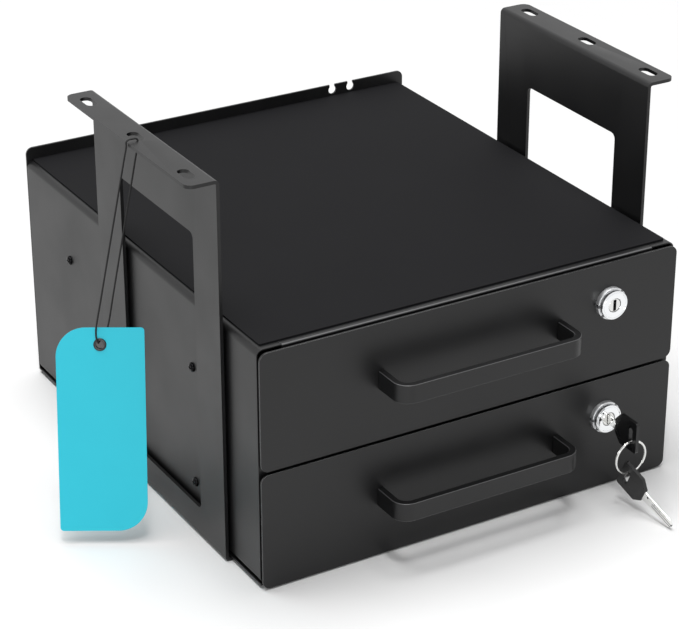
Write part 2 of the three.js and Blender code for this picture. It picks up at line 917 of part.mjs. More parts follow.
// Key blade in the key's own frame: Y runs from the tip at the back to the head at the front,
// with the head's near edge at the origin
function keyBlade() {
  const half = keyBladeWidth / 2;
  const tang = keyTangWidth / 2;
  const tip = keyBladeLength;
  const outline = new THREE.Shape([
    [0, -half],
    [tip - keyTipChamfer, -half],
    [tip, -half + keyTipChamfer],
    [tip, half - keyTipChamfer],
    [tip - keyTipChamfer, half],
    [0, half],
  ].map(([y, z]) => new THREE.Vector2(y, z)));
  const blade = prismAlongX(outline, -keyBladeThickness / 2, keyBladeThickness / 2);
  const root = block(
    [-keyTangThickness / 2, -keyTangLength, -tang],
    [keyTangThickness / 2, cutPast, tang],
  );
  const grooves = [];
  const grooveStart = keyBladeLength * keyGrooveStartShare;
  for (const side of [-1, 1]) {
    const face = (side * keyBladeThickness) / 2;
    for (const level of [-keyGrooveOffset, keyGrooveOffset]) {
      grooves.push(block(
        [face - keyGrooveDepth, grooveStart, level - keyGrooveWidth / 2],
        [face + keyGrooveDepth, keyBladeLength + cutPast, level + keyGrooveWidth / 2],
      ));
    }
  }
  return cut(joined(blade, root), ...grooves);
}

// Key head: a six-sided plastic grip with a slot for the ring and a pocket for the blade
function keyHead() {
  const neck = keyHeadNeckWidth / 2;
  const half = keyHeadWidth / 2;
  const gap = runningClearance;
  const outline = new THREE.Shape([
    [-gap, -neck],
    [-gap, neck],
    [-keyHeadShoulder, half],
    [-keyHeadLength, half],
    [-keyHeadLength, -half],
    [-keyHeadShoulder, -half],
  ].map(([y, z]) => new THREE.Vector2(y, z)));
  const grip = prismAlongX(outline, -keyHeadThickness / 2, keyHeadThickness / 2);
  const holeMiddle = -keyHeadLength + keyHoleFromEnd;
  const r = keyHoleWidth / 2;
  const hole = prismAlongX(roundedRectangle(
    holeMiddle - r,
    -keyHoleLength / 2,
    holeMiddle + r,
    keyHoleLength / 2,
    [r, r, r, r],
  ), -keyHeadThickness, keyHeadThickness, keyHoleEndSteps);
  const pocket = block(
    [-keyTangThickness / 2 - gap, -keyTangLength - gap, -keyTangWidth / 2 - gap],
    [keyTangThickness / 2 + gap, cutPast, keyTangWidth / 2 + gap],
  );
  return cut(grip, hole, pocket);
}

// Key ring about its own middle, standing in the X-Z plane
function keyRing() {
  const radius = keyRingDiameter / 2;
  const ring = new THREE.TorusGeometry(radius, keyRingWire / 2, keyRingWireSides, keyRingSides);
  return ring.rotateX(Math.PI / 2);
}

// Where the keys and the ring lie, measured from the lower lock's axis
function keyPlaces() {
  const keyFront = lockFace + keyInsertion - keyBladeLength;
  const holeAlong = -keyHeadLength + keyHoleFromEnd;
  const seat = keyHoleLength / 2 - keyRingWire / 2 - runningClearance;
  const ringRadius = keyRingDiameter / 2;
  const ring = new THREE.Vector3(0, keyFront + holeAlong, -seat - ringRadius);
  const hang = ring.clone().add(new THREE.Vector3(0, 0, -ringRadius));
  const along = keyBladeLength - keyTipChamfer - holeAlong;
  const roll = THREE.MathUtils.degToRad(spareKeyRoll);
  const halfWidthDown = (keyBladeWidth / 2) * Math.cos(roll);
  const halfBlade = halfWidthDown + (keyBladeThickness / 2) * Math.abs(Math.sin(roll));
  const below = seat * Math.cos(roll) + halfBlade;
  const fall = hang.z + lockLevel + bracketSheet - runningClearance;
  const reach = THREE.MathUtils.clamp(fall / Math.hypot(along, below), -1, 1);
  const lean = Math.asin(reach) - Math.atan2(below, along);
  return { keyFront, ring, hang, roll, lean, holeAlong, seat };
}

// Hang tag in its own frame, its hole at the origin and its face towards -Y
function tagBody() {
  const half = tagWidth / 2;
  const top = tagHoleFromTop;
  const outline = roundedRectangle(
    -half,
    top - tagHeight,
    half,
    top,
    [tagSmallCorner, tagCorner, tagSmallCorner, tagCorner],
  );
  const card = prismAlongY(outline, -tagThickness / 2, tagThickness / 2, tagCornerSteps);
  const radius = eyeletBarrel / 2 + runningClearance;
  const hole = rodAlongY(radius, -tagThickness, tagThickness, 0, 0, tagHoleSides);
  return cut(card, hole);
}

function tagEyelet() {
  const back = tagThickness / 2 + runningClearance;
  const rim = eyeletRim / 2;
  const bore = eyeletBore / 2;
  const barrel = eyeletBarrel / 2;
  const out = back + eyeletRimThickness;
  return turnedAboutY([
    [bore, -out],
    [rim, -out],
    [rim, -back],
    [barrel, -back],
    [barrel, back],
    [rim, back],
    [rim, out],
    [bore, out],
    [bore, -out],
  ], eyeletSides);
}

// String: out of the front of the eyelet, up and round the strip outside the middle slot,
// and back down through the slot to the rear of the eyelet
const stringPoints = [
  [-0.78, 0.45, 1.24],
  [-1.25, -0.26, 1.55],
  [-1.98, -0.82, 2.69],
  [-2.56, -0.04, 5.48],
  [-2.2, 0.98, 9.34],
  [-1.99, 0.46, 13.5],
  [2.11, -0.8, 35],
  [8.79, -2.85, 70],
  [16.05, -5.08, 108],
  [21.39, -6.72, 136],
  [23.3, -7.3, 146],
  [23.45, -7.3, 149],
  [24.9, -7.3, 150.2],
  [27.8, -7.3, 150.4],
  [30.6, -7.3, 150.2],
  [31.8, -7.3, 149],
  [31.9, -7.3, 146],
  [30.09, -6.64, 136],
  [25, -4.78, 108],
  [18.11, -2.27, 70],
  [11.76, 0.05, 35],
  [7.84, 1.48, 13.4],
  [6.5, 2.46, 7.94],
  [4.06, 2.64, 4.08],
  [1.7, 2.55, 1.92],
  [0.1, 1.78, 1],
  [-0.49, 0.95, 1.09],
];

function tagString() {
  const curve = new THREE.CatmullRomCurve3(
    stringPoints.map(([x, y, z]) => new THREE.Vector3(x, y, z)),
    false,
    'centripetal',
  );
  // as many steps between two points in the tight turns as on the straight runs
  curve.getUtoTmapping = (u) => u;
  const section = new THREE.Shape();
  for (let i = 0; i < stringSides; i += 1) {
    const angle = (2 * Math.PI * i) / stringSides;
    const u = (stringDiameter / 2) * Math.cos(angle);
    const v = (stringDiameter / 2) * Math.sin(angle);
    if (i === 0) section.moveTo(u, v);
    else section.lineTo(u, v);
  }
  const steps = stringStepsPerPoint * (stringPoints.length - 1);
  return new THREE.ExtrudeGeometry(section, { steps, extrudePath: curve, bevelEnabled: false });
}

// Assembly of the fixed cabinet
function makeCabinet() {
  const cabinet = new THREE.Group();
  cabinet.position.z = bracketSheet;
  cabinet.add(
    piece('cabinet_shell', cabinetShell(), blackSteel),
    piece('bottom_plate', bottomPlate(), blackSteel),
    piece('rear_panel', rearPanel(), blackSteel),
    piece('top_mat', topMat(), matFinish),
    piece('divider_rail', dividerRail(), blackSteel),
  );
  for (const [level, where] of [[0, 'lower'], [drawerPitch, 'upper']]) {
    for (const side of ['left', 'right']) {
      const rail = piece(`${where}_${side}_outer_rail`, sided(side, outerRail()), zincSteel);
      rail.position.z = level + slideLevel;
      cabinet.add(rail);
      slideScrewFromRailFront.forEach((back, i) => {
        const name = `${where}_${side}_slide_screw_${i === 0 ? 'front' : 'rear'}`;
        const screw = piece(name, sided(side, slideScrew()), blackScrew);
        screw.position.set(0, slideFront + back, level + slideLevel);
        cabinet.add(screw);
      });
    }
  }
  return cabinet;
}

function makeBrackets() {
  const brackets = new THREE.Group();
  for (const side of ['left', 'right']) {
    brackets.add(piece(`${side}_bracket`, sided(side, bracket()), blackSteel));
  }
  for (const { side, x, y } of footScrewPlaces()) {
    const name = `${side < 0 ? 'left' : 'right'}_foot_screw_${y < bracketMiddle ? 'front' : 'rear'}`;
    const screw = piece(name, footScrew(), blackScrew);
    screw.position.set(x, y, 0);
    brackets.add(screw);
  }
  return brackets;
}

function makeLock(where) {
  const lock = new THREE.Group();
  lock.position.set(lockOffset, 0, lockLevel);
  lock.add(
    piece(`${where}_lock_body`, lockBody(), chrome),
    piece(`${where}_lock_trim_ring`, trimRing(), chrome),
    piece(`${where}_lock_nut`, lockNut(), zincSteel),
    piece(`${where}_lock_plug`, lockPlug(), brass),
    piece(`${where}_lock_cam`, lockCam(), zincSteel),
  );
  return lock;
}

function makeDrawer(where, level) {
  const drawer = new THREE.Group();
  drawer.position.z = bracketSheet + level;
  drawer.add(
    piece(`${where}_drawer_front`, drawerFront(), frontSteel),
    piece(`${where}_drawer_box`, drawerBox(), blackSteel),
    piece(`${where}_handle`, handle(), frontSteel),
    makeLock(where),
  );
  handleLegPlaces().forEach((x, i) => {
    const screw = piece(`${where}_handle_screw_${i === 0 ? 'left' : 'right'}`, handleScrew(), zincSteel);
    screw.position.set(x, 0, handleLevel);
    drawer.add(screw);
  });
  for (const side of ['left', 'right']) {
    const rail = piece(`${where}_${side}_inner_rail`, sided(side, innerRail()), zincSteel);
    const cage = piece(`${where}_${side}_ball_cage`, sided(side, ballCage()), brass);
    rail.position.z = slideLevel;
    cage.position.z = slideLevel;
    drawer.add(rail, cage);
  }
  return drawer;
}

function makeKeys() {
  const keys = new THREE.Group();
  const { keyFront, ring, hang, roll, lean, holeAlong, seat } = keyPlaces();
  keys.position.set(lockOffset, 0, bracketSheet + lockLevel);
  const inserted = new THREE.Group();
  inserted.position.y = keyFront;
  inserted.add(
    piece('key_blade', keyBlade(), nickel),
    piece('key_head', keyHead(), blackPlastic),
  );
  const loop = piece('key_ring', keyRing(), nickel);
  loop.position.copy(ring);
  const spare = new THREE.Group();
  const turned = new THREE.Group();
  turned.position.set(0, -holeAlong, -seat);
  turned.add(
    piece('spare_key_blade', keyBlade(), nickel),
    piece('spare_key_head', keyHead(), blackPlastic),
  );
  spare.add(turned);
  spare.position.copy(hang);
  spare.rotation.set(-lean, roll, Math.PI + THREE.MathUtils.degToRad(spareKeyYaw), 'ZXY');
  keys.add(inserted, loop, spare);
  return keys;
}

function makeTag() {
  const hanging = new THREE.Group();
  const swing = THREE.MathUtils.degToRad(tagSwing);
  const strip = (flangeEdge + slotCentre + slotWidth / 2) / 2;
  const holeX = -strip - tagHoleDrop * Math.tan(swing);
  const holeZ = bracketHeight - bracketSheet / 2 - tagHoleDrop;
  hanging.position.set(holeX, bracketMiddle, holeZ);
  const card = new THREE.Group();
  card.rotation.set(-THREE.MathUtils.degToRad(tagTilt), 0, -THREE.MathUtils.degToRad(tagYaw), 'ZXY');
  card.add(
    piece('hang_tag', tagBody(), tagCard),
    piece('tag_eyelet', tagEyelet(), tagBlack),
  );
  hanging.add(card, piece('tag_string', tagString(), tagBlack));
  return hanging;
}

const safe = new THREE.Group();
safe.add(
  makeCabinet(),
  makeBrackets(),
  makeDrawer('lower', 0),
  makeDrawer('upper', drawerPitch),
  makeKeys(),
);

// The origin is the middle of the safe's own box, on the surface it stands on
const reach = new THREE.Box3().setFromObject(safe, true);
const assembly = new THREE.Group();
assembly.add(safe, makeTag());
assembly.position.set(0, -(reach.min.y + reach.max.y) / 2, -reach.min.z);

export default assembly;
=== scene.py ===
import bmesh
import bpy
import math
import numpy as np
from mathutils import Matrix, Vector
from mathutils.geometry import tessellate_polygon


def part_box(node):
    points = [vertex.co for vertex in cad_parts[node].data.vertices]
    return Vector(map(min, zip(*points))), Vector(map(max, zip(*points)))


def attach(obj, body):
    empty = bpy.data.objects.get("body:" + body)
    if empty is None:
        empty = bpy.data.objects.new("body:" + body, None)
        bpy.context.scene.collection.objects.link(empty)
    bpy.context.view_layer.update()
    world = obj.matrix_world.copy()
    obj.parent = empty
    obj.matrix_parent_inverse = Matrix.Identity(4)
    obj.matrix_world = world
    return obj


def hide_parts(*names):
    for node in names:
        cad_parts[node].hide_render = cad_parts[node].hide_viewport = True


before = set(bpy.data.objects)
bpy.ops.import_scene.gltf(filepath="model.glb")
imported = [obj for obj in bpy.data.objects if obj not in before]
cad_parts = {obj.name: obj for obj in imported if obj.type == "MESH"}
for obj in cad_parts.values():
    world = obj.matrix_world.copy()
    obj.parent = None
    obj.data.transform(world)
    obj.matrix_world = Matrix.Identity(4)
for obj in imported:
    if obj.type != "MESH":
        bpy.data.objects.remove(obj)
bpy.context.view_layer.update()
mm = 0.001
print("frame loaded")


def newObject(name, data):
    made = bpy.data.objects.new(name, data)
    bpy.context.scene.collection.objects.link(made)
    return made


# Camera, solved from the straight edges of the photograph

cameraFacts = {
    "fromFront": (-822.1, -1225.4, 895.4),  # mm from the middle of the lower front's bottom edge
    "yaw": 30.183,
    "pitch": 26.28,
    "roll": -0.116,
    "lens": 127.1,
    "sensor": 36,
    "clipStart": 50,
}


def makeCamera():
    facts = cameraFacts
    low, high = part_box("lower_drawer_front")
    foot = Vector(((low.x + high.x) / 2, low.y, low.z))
    data = bpy.data.cameras.new("photoCamera")
    data.lens = facts["lens"]
    data.sensor_width = facts["sensor"]
    data.clip_start = facts["clipStart"] * mm
    camera = newObject("photoCamera", data)
    turn = (
        Matrix.Rotation(-math.radians(facts["yaw"]), 4, "Z")
        @ Matrix.Rotation(math.radians(90 - facts["pitch"]), 4, "X")
        @ Matrix.Rotation(math.radians(facts["roll"]), 4, "Z")
    )
    camera.matrix_world = Matrix.Translation(foot + Vector(facts["fromFront"]) * mm) @ turn
    bpy.context.scene.camera = camera


makeCamera()


# Small helpers for colours and nodes

def linear(hexColour):  # sRGB hex to linear: c/12.92 when dark, else ((c + 0.055)/1.055) to the 2.4
    c = np.array([int(hexColour[i:i + 2], 16) for i in (1, 3, 5)]) / 255
    c = np.where(c <= 0.04045, c / 12.92, ((c + 0.055) / 1.055) ** 2.4)
    return (*c.tolist(), 1.0)


# Adds a node. Lower-case keys are settings of the node itself, the rest its sockets, and a colour may
# be given in hex.
def add(tree, kind, settings=None, links=None):
    node = tree.nodes.new(kind)
    for key, value in (settings or {}).items():
        if isinstance(key, str) and key[0].islower():
            setattr(node, key, value)
        else:
            node.inputs[key].default_value = linear(value) if isinstance(value, str) else value
    for key, socket in (links or {}).items():
        tree.links.new(socket, node.inputs[key])
    return node


def emptyTree(owner):  # the node tree of a material or world without its default nodes
    owner.use_nodes = True
    owner.node_tree.nodes.clear()
    return owner.node_tree


def startMaterial(name):  # with the Object coordinates for its patterns
    material = bpy.data.materials.new(name)
    tree = emptyTree(material)
    return material, tree, add(tree, "ShaderNodeTexCoord").outputs["Object"]


def finishMaterial(material, settings, links):  # the patterns lead to one Principled surface
    tree = material.node_tree
    surface = add(tree, "ShaderNodeBsdfPrincipled", settings, links)
    add(tree, "ShaderNodeOutputMaterial", links={"Surface": surface.outputs["BSDF"]})
    return material


def perMetre(size):  # texture scale that repeats once in a size given in mm
    return 1 / (size * mm)


# Materials. Each dictionary holds the settings of its nodes.

cloudSpan = {"From Min": 0.3, "From Max": 0.7}  # where most of a noise lies

coatFacts = {
    "surface": {"IOR": 1.45},
    "grain": {"Scale": perMetre(0.9), "Detail": 3, "Roughness": 0.6},
    "relief": {"Distance": 0.03 * mm, "Strength": 0.5},
    "cloud": {"Scale": perMetre(45)},
    "spread": 0.03,  # of its roughness
    # bright steel of the painted highlight on the edge rounds
    "steel": {"data_type": "RGBA", 7: "#a8a8aa"},
    "rounds": {"From Min": 0.6, "From Max": 0.95, "To Max": 0},
}


# Satin powder coat on steel: near black, with an orange-peel grain of about 1 mm that breaks up
# its reflections, drawn a little coarse so that it shows. Where its last argument is given, bright
# metallic steel is mixed into the rounds of the edges: a painted highlight along them, drawn as a coat
# worn thin to the steel.
def powderCoat(name, colour, second, roughness, paintedHighlight=None):
    facts = coatFacts
    material, tree, place = startMaterial(name)
    grain = add(tree, "ShaderNodeTexNoise", facts["grain"], {"Vector": place}).outputs["Fac"]
    relief = add(tree, "ShaderNodeBump", facts["relief"], {"Height": grain}).outputs["Normal"]
    cloud = add(tree, "ShaderNodeTexNoise", facts["cloud"], {"Vector": place}).outputs["Fac"]
    spread = {"To Min": roughness - facts["spread"], "To Max": roughness + facts["spread"]}
    gloss = add(tree, "ShaderNodeMapRange", {**cloudSpan, **spread}, {"Value": cloud}).outputs["Result"]
    colours = {"data_type": "RGBA", 6: colour, 7: second}
    paint = add(tree, "ShaderNodeMix", colours, {0: cloud}).outputs[2]
    links = {"Roughness": gloss, "Normal": relief}
    if paintedHighlight:
        # painted highlight: bright metallic steel on the rounds of the edges
        edge = paintedHighlightShare(tree, *paintedHighlight)
        paint = add(tree, "ShaderNodeMix", facts["steel"], {0: edge, 6: paint}).outputs[2]
        links["Metallic"] = edge
    links["Base Color"] = paint
    return finishMaterial(material, facts["surface"], links)


# Share of bright steel that paints a highlight on the rounds between the faces square to one axis and
# the faces along it. With n the normal's part on that axis it grows as 1 - max(n², 1 - n²), which is 0
# on both kinds of face.
def paintedHighlightShare(tree, axis, most):
    normal = add(tree, "ShaderNodeNewGeometry").outputs["Normal"]
    part = add(tree, "ShaderNodeSeparateXYZ", links={0: normal}).outputs[axis]
    square = add(tree, "ShaderNodeMath", {"operation": "MULTIPLY"}, {0: part, 1: part}).outputs[0]
    rest = add(tree, "ShaderNodeMath", {"operation": "SUBTRACT", 0: 1.0}, {1: square}).outputs[0]
    largest = add(tree, "ShaderNodeMath", {"operation": "MAXIMUM"}, {0: square, 1: rest}).outputs[0]
    rounds = {**coatFacts["rounds"], "To Min": most}
    return add(tree, "ShaderNodeMapRange", rounds, {"Value": largest}).outputs["Result"]


metalFacts = {
    "surface": {"Metallic": 1.0},
    "cloud": {"Scale": perMetre(14), "Detail": 3},
    "gloss": (0.8, 1.25),  # lowest and highest share of the roughness
    "relief": {"Distance": 0.01 * mm, "Strength": 0.4},
}


# Metal with a plated or turned face: faint stains in its gloss and, where given, a fine grain.
def metal(name, colour, second, roughness, grain=None, stretch=(1, 1, 1)):
    facts = metalFacts
    material, tree, place = startMaterial(name)
    cloud = add(tree, "ShaderNodeTexNoise", facts["cloud"], {"Vector": place}).outputs["Fac"]
    colours = {"data_type": "RGBA", 6: colour, 7: second}
    tint = add(tree, "ShaderNodeMix", colours, {0: cloud}).outputs[2]
    low, high = (roughness * share for share in facts["gloss"])
    stains = {**cloudSpan, "To Min": low, "To Max": high}
    gloss = add(tree, "ShaderNodeMapRange", stains, {"Value": cloud}).outputs["Result"]
    links = {"Base Color": tint, "Roughness": gloss}
    if grain:
        drawn = add(tree, "ShaderNodeMapping", {"Scale": stretch}, {"Vector": place})
        scale, vector = {"Scale": perMetre(grain)}, {"Vector": drawn.outputs["Vector"]}
        lines = add(tree, "ShaderNodeTexNoise", scale, vector).outputs["Fac"]
        relief = add(tree, "ShaderNodeBump", facts["relief"], {"Height": lines})
        links["Normal"] = relief.outputs["Normal"]
    return finishMaterial(material, facts["surface"], links)


keySteelFacts = {
    "surface": {"Metallic": 1.0},
    "plating": {"data_type": "RGBA", 6: "#f2f2f0", 7: "#e6e6e4"},
    # dark colour of the painted shade in the grooves and dimples
    "cut": {"data_type": "RGBA", 7: "#262628"},
    "gloss": {"From Min": 0, "From Max": 1, "To Min": 0.16, "To Max": 0.5},
    "grain": {"Scale": perMetre(0.5)},
    "relief": {"Distance": 0.005 * mm, "Strength": 0.3},
}


# Nickel-plated key steel: as bright as the plating, with painted shade in its grooves and dimples,
# where the metal is drawn darker and duller.
def platedKey():
    facts = keySteelFacts
    material, tree, place = startMaterial("platedKeySteel")
    milled = add(tree, "ShaderNodeAttribute", {"attribute_name": "milled"}).outputs["Fac"]
    grain = add(tree, "ShaderNodeTexNoise", facts["grain"], {"Vector": place}).outputs["Fac"]
    plating = add(tree, "ShaderNodeMix", facts["plating"], {0: grain}).outputs[2]
    colour = add(tree, "ShaderNodeMix", facts["cut"], {0: milled, 6: plating}).outputs[2]
    gloss = add(tree, "ShaderNodeMapRange", facts["gloss"], {"Value": milled}).outputs["Result"]
    relief = add(tree, "ShaderNodeBump", facts["relief"], {"Height": grain}).outputs["Normal"]
    links = {"Base Color": colour, "Roughness": gloss, "Normal": relief}
    return finishMaterial(material, facts["surface"], links)


plasticFacts = {
    "ior": 1.46,
    "texture": {"Scale": perMetre(0.35)},
    "relief": {"Distance": 0.01 * mm, "Strength": 0.4},
    "cloud": {"Scale": perMetre(6)},
    "gloss": (-0.04, 0.06),  # added to the roughness
}


# Moulded plastic: a faint spark-eroded texture and gloss.
def mouldedPlastic(name, colour, roughness):
    facts = plasticFacts
    material, tree, place = startMaterial(name)
    texture = add(tree, "ShaderNodeTexNoise", facts["texture"], {"Vector": place}).outputs["Fac"]
    relief = add(tree, "ShaderNodeBump", facts["relief"], {"Height": texture}).outputs["Normal"]
    cloud = add(tree, "ShaderNodeTexNoise", facts["cloud"], {"Vector": place}).outputs["Fac"]
    low, high = (roughness + change for change in facts["gloss"])
    patches = {**cloudSpan, "To Min": low, "To Max": high}
    gloss = add(tree, "ShaderNodeMapRange", patches, {"Value": cloud}).outputs["Result"]
    settings = {"Base Color": colour, "IOR": facts["ior"]}
    return finishMaterial(material, settings, {"Roughness": gloss, "Normal": relief})


# Thin rubber mat glued on the top: matt, with a fine pebbled face.
matFacts = {
    "surface": {"Roughness": 0.8, "IOR": 1.45, "Specular IOR Level": 0.14},
    "colours": {"data_type": "RGBA", 6: "#0e0e10", 7: "#121214"},
    "cloud": {"Scale": perMetre(60), "Detail": 3},
    "grain": {"Scale": perMetre(1.1)},
    "relief": {"Distance": 0.03 * mm, "Strength": 0.35},
}

# Laminated printed card: flat turquoise with a soft film gloss and very faint mottling.
cardFacts = {
    "surface": {"Roughness": 0.5, "IOR": 1.45},
    "colours": {"data_type": "RGBA", 6: "#0dbfd5", 7: "#15c3d8"},
    "cloud": {"Scale": perMetre(18), "Detail": 3},
    "grain": {"Scale": perMetre(0.5), "Detail": 3},
    "relief": {"Distance": 0.012 * mm, "Strength": 0.3},
}

# Waxed cotton string: near black, with a fuzz of fine fibres that dulls it.
cottonFacts = {
    "surface": {"Roughness": 0.7, "IOR": 1.45},
    "colours": {"data_type": "RGBA", 6: "#050506", 7: "#0c0c0d"},
    "cloud": {"Scale": perMetre(0.25), "Detail": 3},
    "grain": {"Scale": perMetre(0.25), "Detail": 3},
    "relief": {"Distance": 0.03 * mm, "Strength": 0.5},
}


# Mottled surface: a cloudy noise mixes its two colours, over a relief of fine grain or pebbles.
def mottled(name, facts, grainKind="ShaderNodeTexNoise"):
    material, tree, place = startMaterial(name)
    cloud = add(tree, "ShaderNodeTexNoise", facts["cloud"], {"Vector": place}).outputs["Fac"]
    colour = add(tree, "ShaderNodeMix", facts["colours"], {0: cloud}).outputs[2]
    grain = add(tree, grainKind, facts["grain"], {"Vector": place}).outputs[0]
    relief = add(tree, "ShaderNodeBump", facts["relief"], {"Height": grain}).outputs["Normal"]
    return finishMaterial(material, facts["surface"], {"Base Color": colour, "Normal": relief})


# After a coat's roughness come the axis that its highlighted rounds turn about and the most bright
# steel of the painted highlight they show; after a metal's, the size of its grain in mm and how the
# grain is drawn out along X, Y and Z.
alongRail = (1, 0.04, 1)
blackPaint = powderCoat("blackPowderCoat", "#060607", "#09090a", 0.4)
foldPaint = powderCoat("foldPowderCoat", "#060607", "#09090a", 0.38, ("Z", 0.4))
frontPaint = powderCoat("frontPowderCoat", "#080809", "#0b0b0c", 0.38, ("Y", 1.0))
barPaint = powderCoat("barPowderCoat", "#080809", "#0b0b0c", 0.38, ("Z", 0.3))
matSurface = mottled("mattRubberMat", matFacts, "ShaderNodeTexVoronoi")
chrome = metal("polishedChrome", "#f4f5f6", "#eceef0", 0.07)
castZinc = metal("matChromedZinc", "#e0e1e2", "#d2d3d5", 0.42, 0.5)
nickel = metal("nickelPlate", "#e6e6e4", "#d8d8d6", 0.16, 0.4)
keySteel = platedKey()
zinc = metal("brightZinc", "#b9bdc2", "#a3a8ae", 0.3, 0.8, alongRail)
yellowZinc = metal("yellowZinc", "#c9b070", "#b39a66", 0.3, 0.8, alongRail)
blackOxide = metal("blackOxide", "#1b1b1c", "#131314", 0.2, 0.3)
keyPlastic = mouldedPlastic("blackAbs", "#0b0b0c", 0.3)
eyeletPaint = mouldedPlastic("blackEnamel", "#131314", 0.3)
cardSurface = mottled("laminatedCard", cardFacts)
stringSurface = mottled("waxedCotton", cottonFacts)
print("materials made")


# Outlines and lines

weld = 1e-7  # corners nearer than this, in metres, are one
nearlyHalf = 0.4995  # share of a slot's width that rounds its ends, which keeps its sides


def rounded(corners, radii, steps=8):  # closed outline whose corners are arcs tangent to both sides
    corners = np.asarray(corners, float)
    out = []
    for i, (c, r) in enumerate(zip(corners, np.broadcast_to(radii, len(corners)))):
        if r > 0:
            out.append(fillet(corners[i - 1], c, corners[(i + 1) % len(corners)], r, steps))
        else:
            out.append(c[None])
    return np.concatenate(out)


def fillet(before, corner, after, r, steps):  # arc of radius r that rounds one corner of a line
    a = (before - corner) / np.linalg.norm(before - corner)
    b = (after - corner) / np.linalg.norm(after - corner)
    half = math.acos(float(np.clip(a @ b, -1, 1))) / 2
    middle = corner + (a + b) / np.linalg.norm(a + b) * (r / math.sin(half))
    start = corner + a * (r / math.tan(half)) - middle
    end = corner + b * (r / math.tan(half)) - middle
    first = math.atan2(start[1], start[0])
    sweep = (math.atan2(end[1], end[0]) - first + math.pi) % (2 * math.pi) - math.pi
    t = first + sweep * np.linspace(0, 1, steps + 1)
    return middle + r * np.stack([np.cos(t), np.sin(t)], 1)


def bentLine(line, r, steps):  # open line with arcs of radius r at its inner corners
    line = np.asarray(line, float)
    middle = [fillet(line[i - 1], line[i], line[i + 1], r, steps) for i in range(1, len(line) - 1)]
    return np.concatenate([line[:1], *middle, line[-1:]])


def lengthsAlong(path):  # how far along the line each of its points is
    return np.concatenate([[0], np.cumsum(np.linalg.norm(np.diff(path, axis=0), axis=1))])


def circle(r, steps):
    t = np.linspace(0, 2 * np.pi, steps, endpoint=False)
    return r * np.stack([np.cos(t), np.sin(t)], 1)


def rectangle(x0, y0, x1, y1, radii=0, steps=8):
    return rounded([(x0, y0), (x1, y0), (x1, y1), (x0, y1)], radii, steps)


# Mesh tools

def objectFrom(name, mesh, material, body, slotName, *nodes):
    mesh.name = name
    mesh.materials.append(material)
    piece = newObject(name, mesh)
    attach(piece, body)
    if nodes:
        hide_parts(*nodes)
    return piece


def smooth(mesh, degrees=35):
    mesh.shade_smooth()
    mesh.set_sharp_from_angle(angle=math.radians(degrees))
    return mesh


def outward(mesh, mergeFirst=False):  # turns the faces of a closed mesh outwards
    bm = bmesh.new()
    bm.from_mesh(mesh)
    if mergeFirst:
        bmesh.ops.remove_doubles(bm, verts=bm.verts[:], dist=weld)
    bmesh.ops.recalc_face_normals(bm, faces=bm.faces[:])
    bm.to_mesh(mesh)
    bm.free()


def meshFrom(bm):
    mesh = bpy.data.meshes.new("flatPattern")
    bm.to_mesh(mesh)
    bm.free()
    return mesh


def pointsOf(mesh):
    points = np.zeros(len(mesh.vertices) * 3)
    mesh.vertices.foreach_get("co", points)
    return points.reshape(-1, 3)


def placed(mesh, matrix):
    mesh.transform(matrix)
    return mesh


def middleOf(node):
    low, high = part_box(node)
    return (low + high) / 2


def softEdges(piece, width, segments=2, degrees=50):  # small radius that paint and wear give an edge
    bevel = piece.modifiers.new("edgeRadius", "BEVEL")
    bevel.width = width * mm
    bevel.segments = segments
    bevel.limit_method = "ANGLE"
    bevel.angle_limit = math.radians(degrees)
    bevel.harden_normals = True
    bevel.miter_outer = "MITER_ARC"
    return piece


def fill(loops):  # flat faces inside the first loop and outside the rest
    bm = bmesh.new()
    points = np.concatenate(loops)
    verts = [bm.verts.new((float(u), float(v), 0)) for u, v in points]
    for a, b, c in tessellate_polygon([[Vector((u, v, 0)) for u, v in loop] for loop in loops]):
        bm.faces.new((verts[a], verts[b], verts[c]))
    bmesh.ops.dissolve_limit(bm, angle_limit=1e-3, verts=bm.verts[:], edges=bm.edges[:])
    return bm


def solid(mesh, thickness):  # both faces and the rim of a sheet about its middle
    outward(mesh)
    scratch = newObject("scratch", mesh)
    thick = scratch.modifiers.new("thickness", "SOLIDIFY")
    thick.thickness = thickness * mm
    thick.offset = 0
    thick.use_even_offset = True
    evaluated = scratch.evaluated_get(bpy.context.evaluated_depsgraph_get())
    made = bpy.data.meshes.new_from_object(evaluated)
    bpy.data.objects.remove(scratch)
    outward(made)
    return smooth(made)


# A folded sheet: its flat pattern (u, w) is filled, cut along the bends, and each point goes to
# centreLine(u) in the plane of axes[0], axes[1] and to w on axes[2]. Solidify then gives the sheet.
def foldedSheet(line, bendRadius, loops, thickness, axes, steps):
    path = bentLine(line, bendRadius * mm, steps)
    along = lengthsAlong(path)
    bm = fill(loops)
    for u in along[1:-1]:
        everything = bm.verts[:] + bm.edges[:] + bm.faces[:]
        bmesh.ops.bisect_plane(bm, geom=everything, plane_co=(u, 0, 0), plane_no=(1, 0, 0), dist=weld)
    mesh = meshFrom(bm)
    flat = pointsOf(mesh)
    folded = np.zeros_like(flat)
    folded[:, axes[0]] = np.interp(flat[:, 0], along, path[:, 0])
    folded[:, axes[1]] = np.interp(flat[:, 0], along, path[:, 1])
    folded[:, axes[2]] = flat[:, 1]
    mesh.vertices.foreach_set("co", folded.ravel())
    return solid(mesh, thickness)


def flatSheet(loops, thickness, level, axes):  # a plate with holes, its middle at level on axes[2]
    mesh = meshFrom(fill(loops))
    flat = pointsOf(mesh)
    plate = np.full_like(flat, level)
    plate[:, axes[0]] = flat[:, 0]
    plate[:, axes[1]] = flat[:, 1]
    mesh.vertices.foreach_set("co", plate.ravel())
    return solid(mesh, thickness)


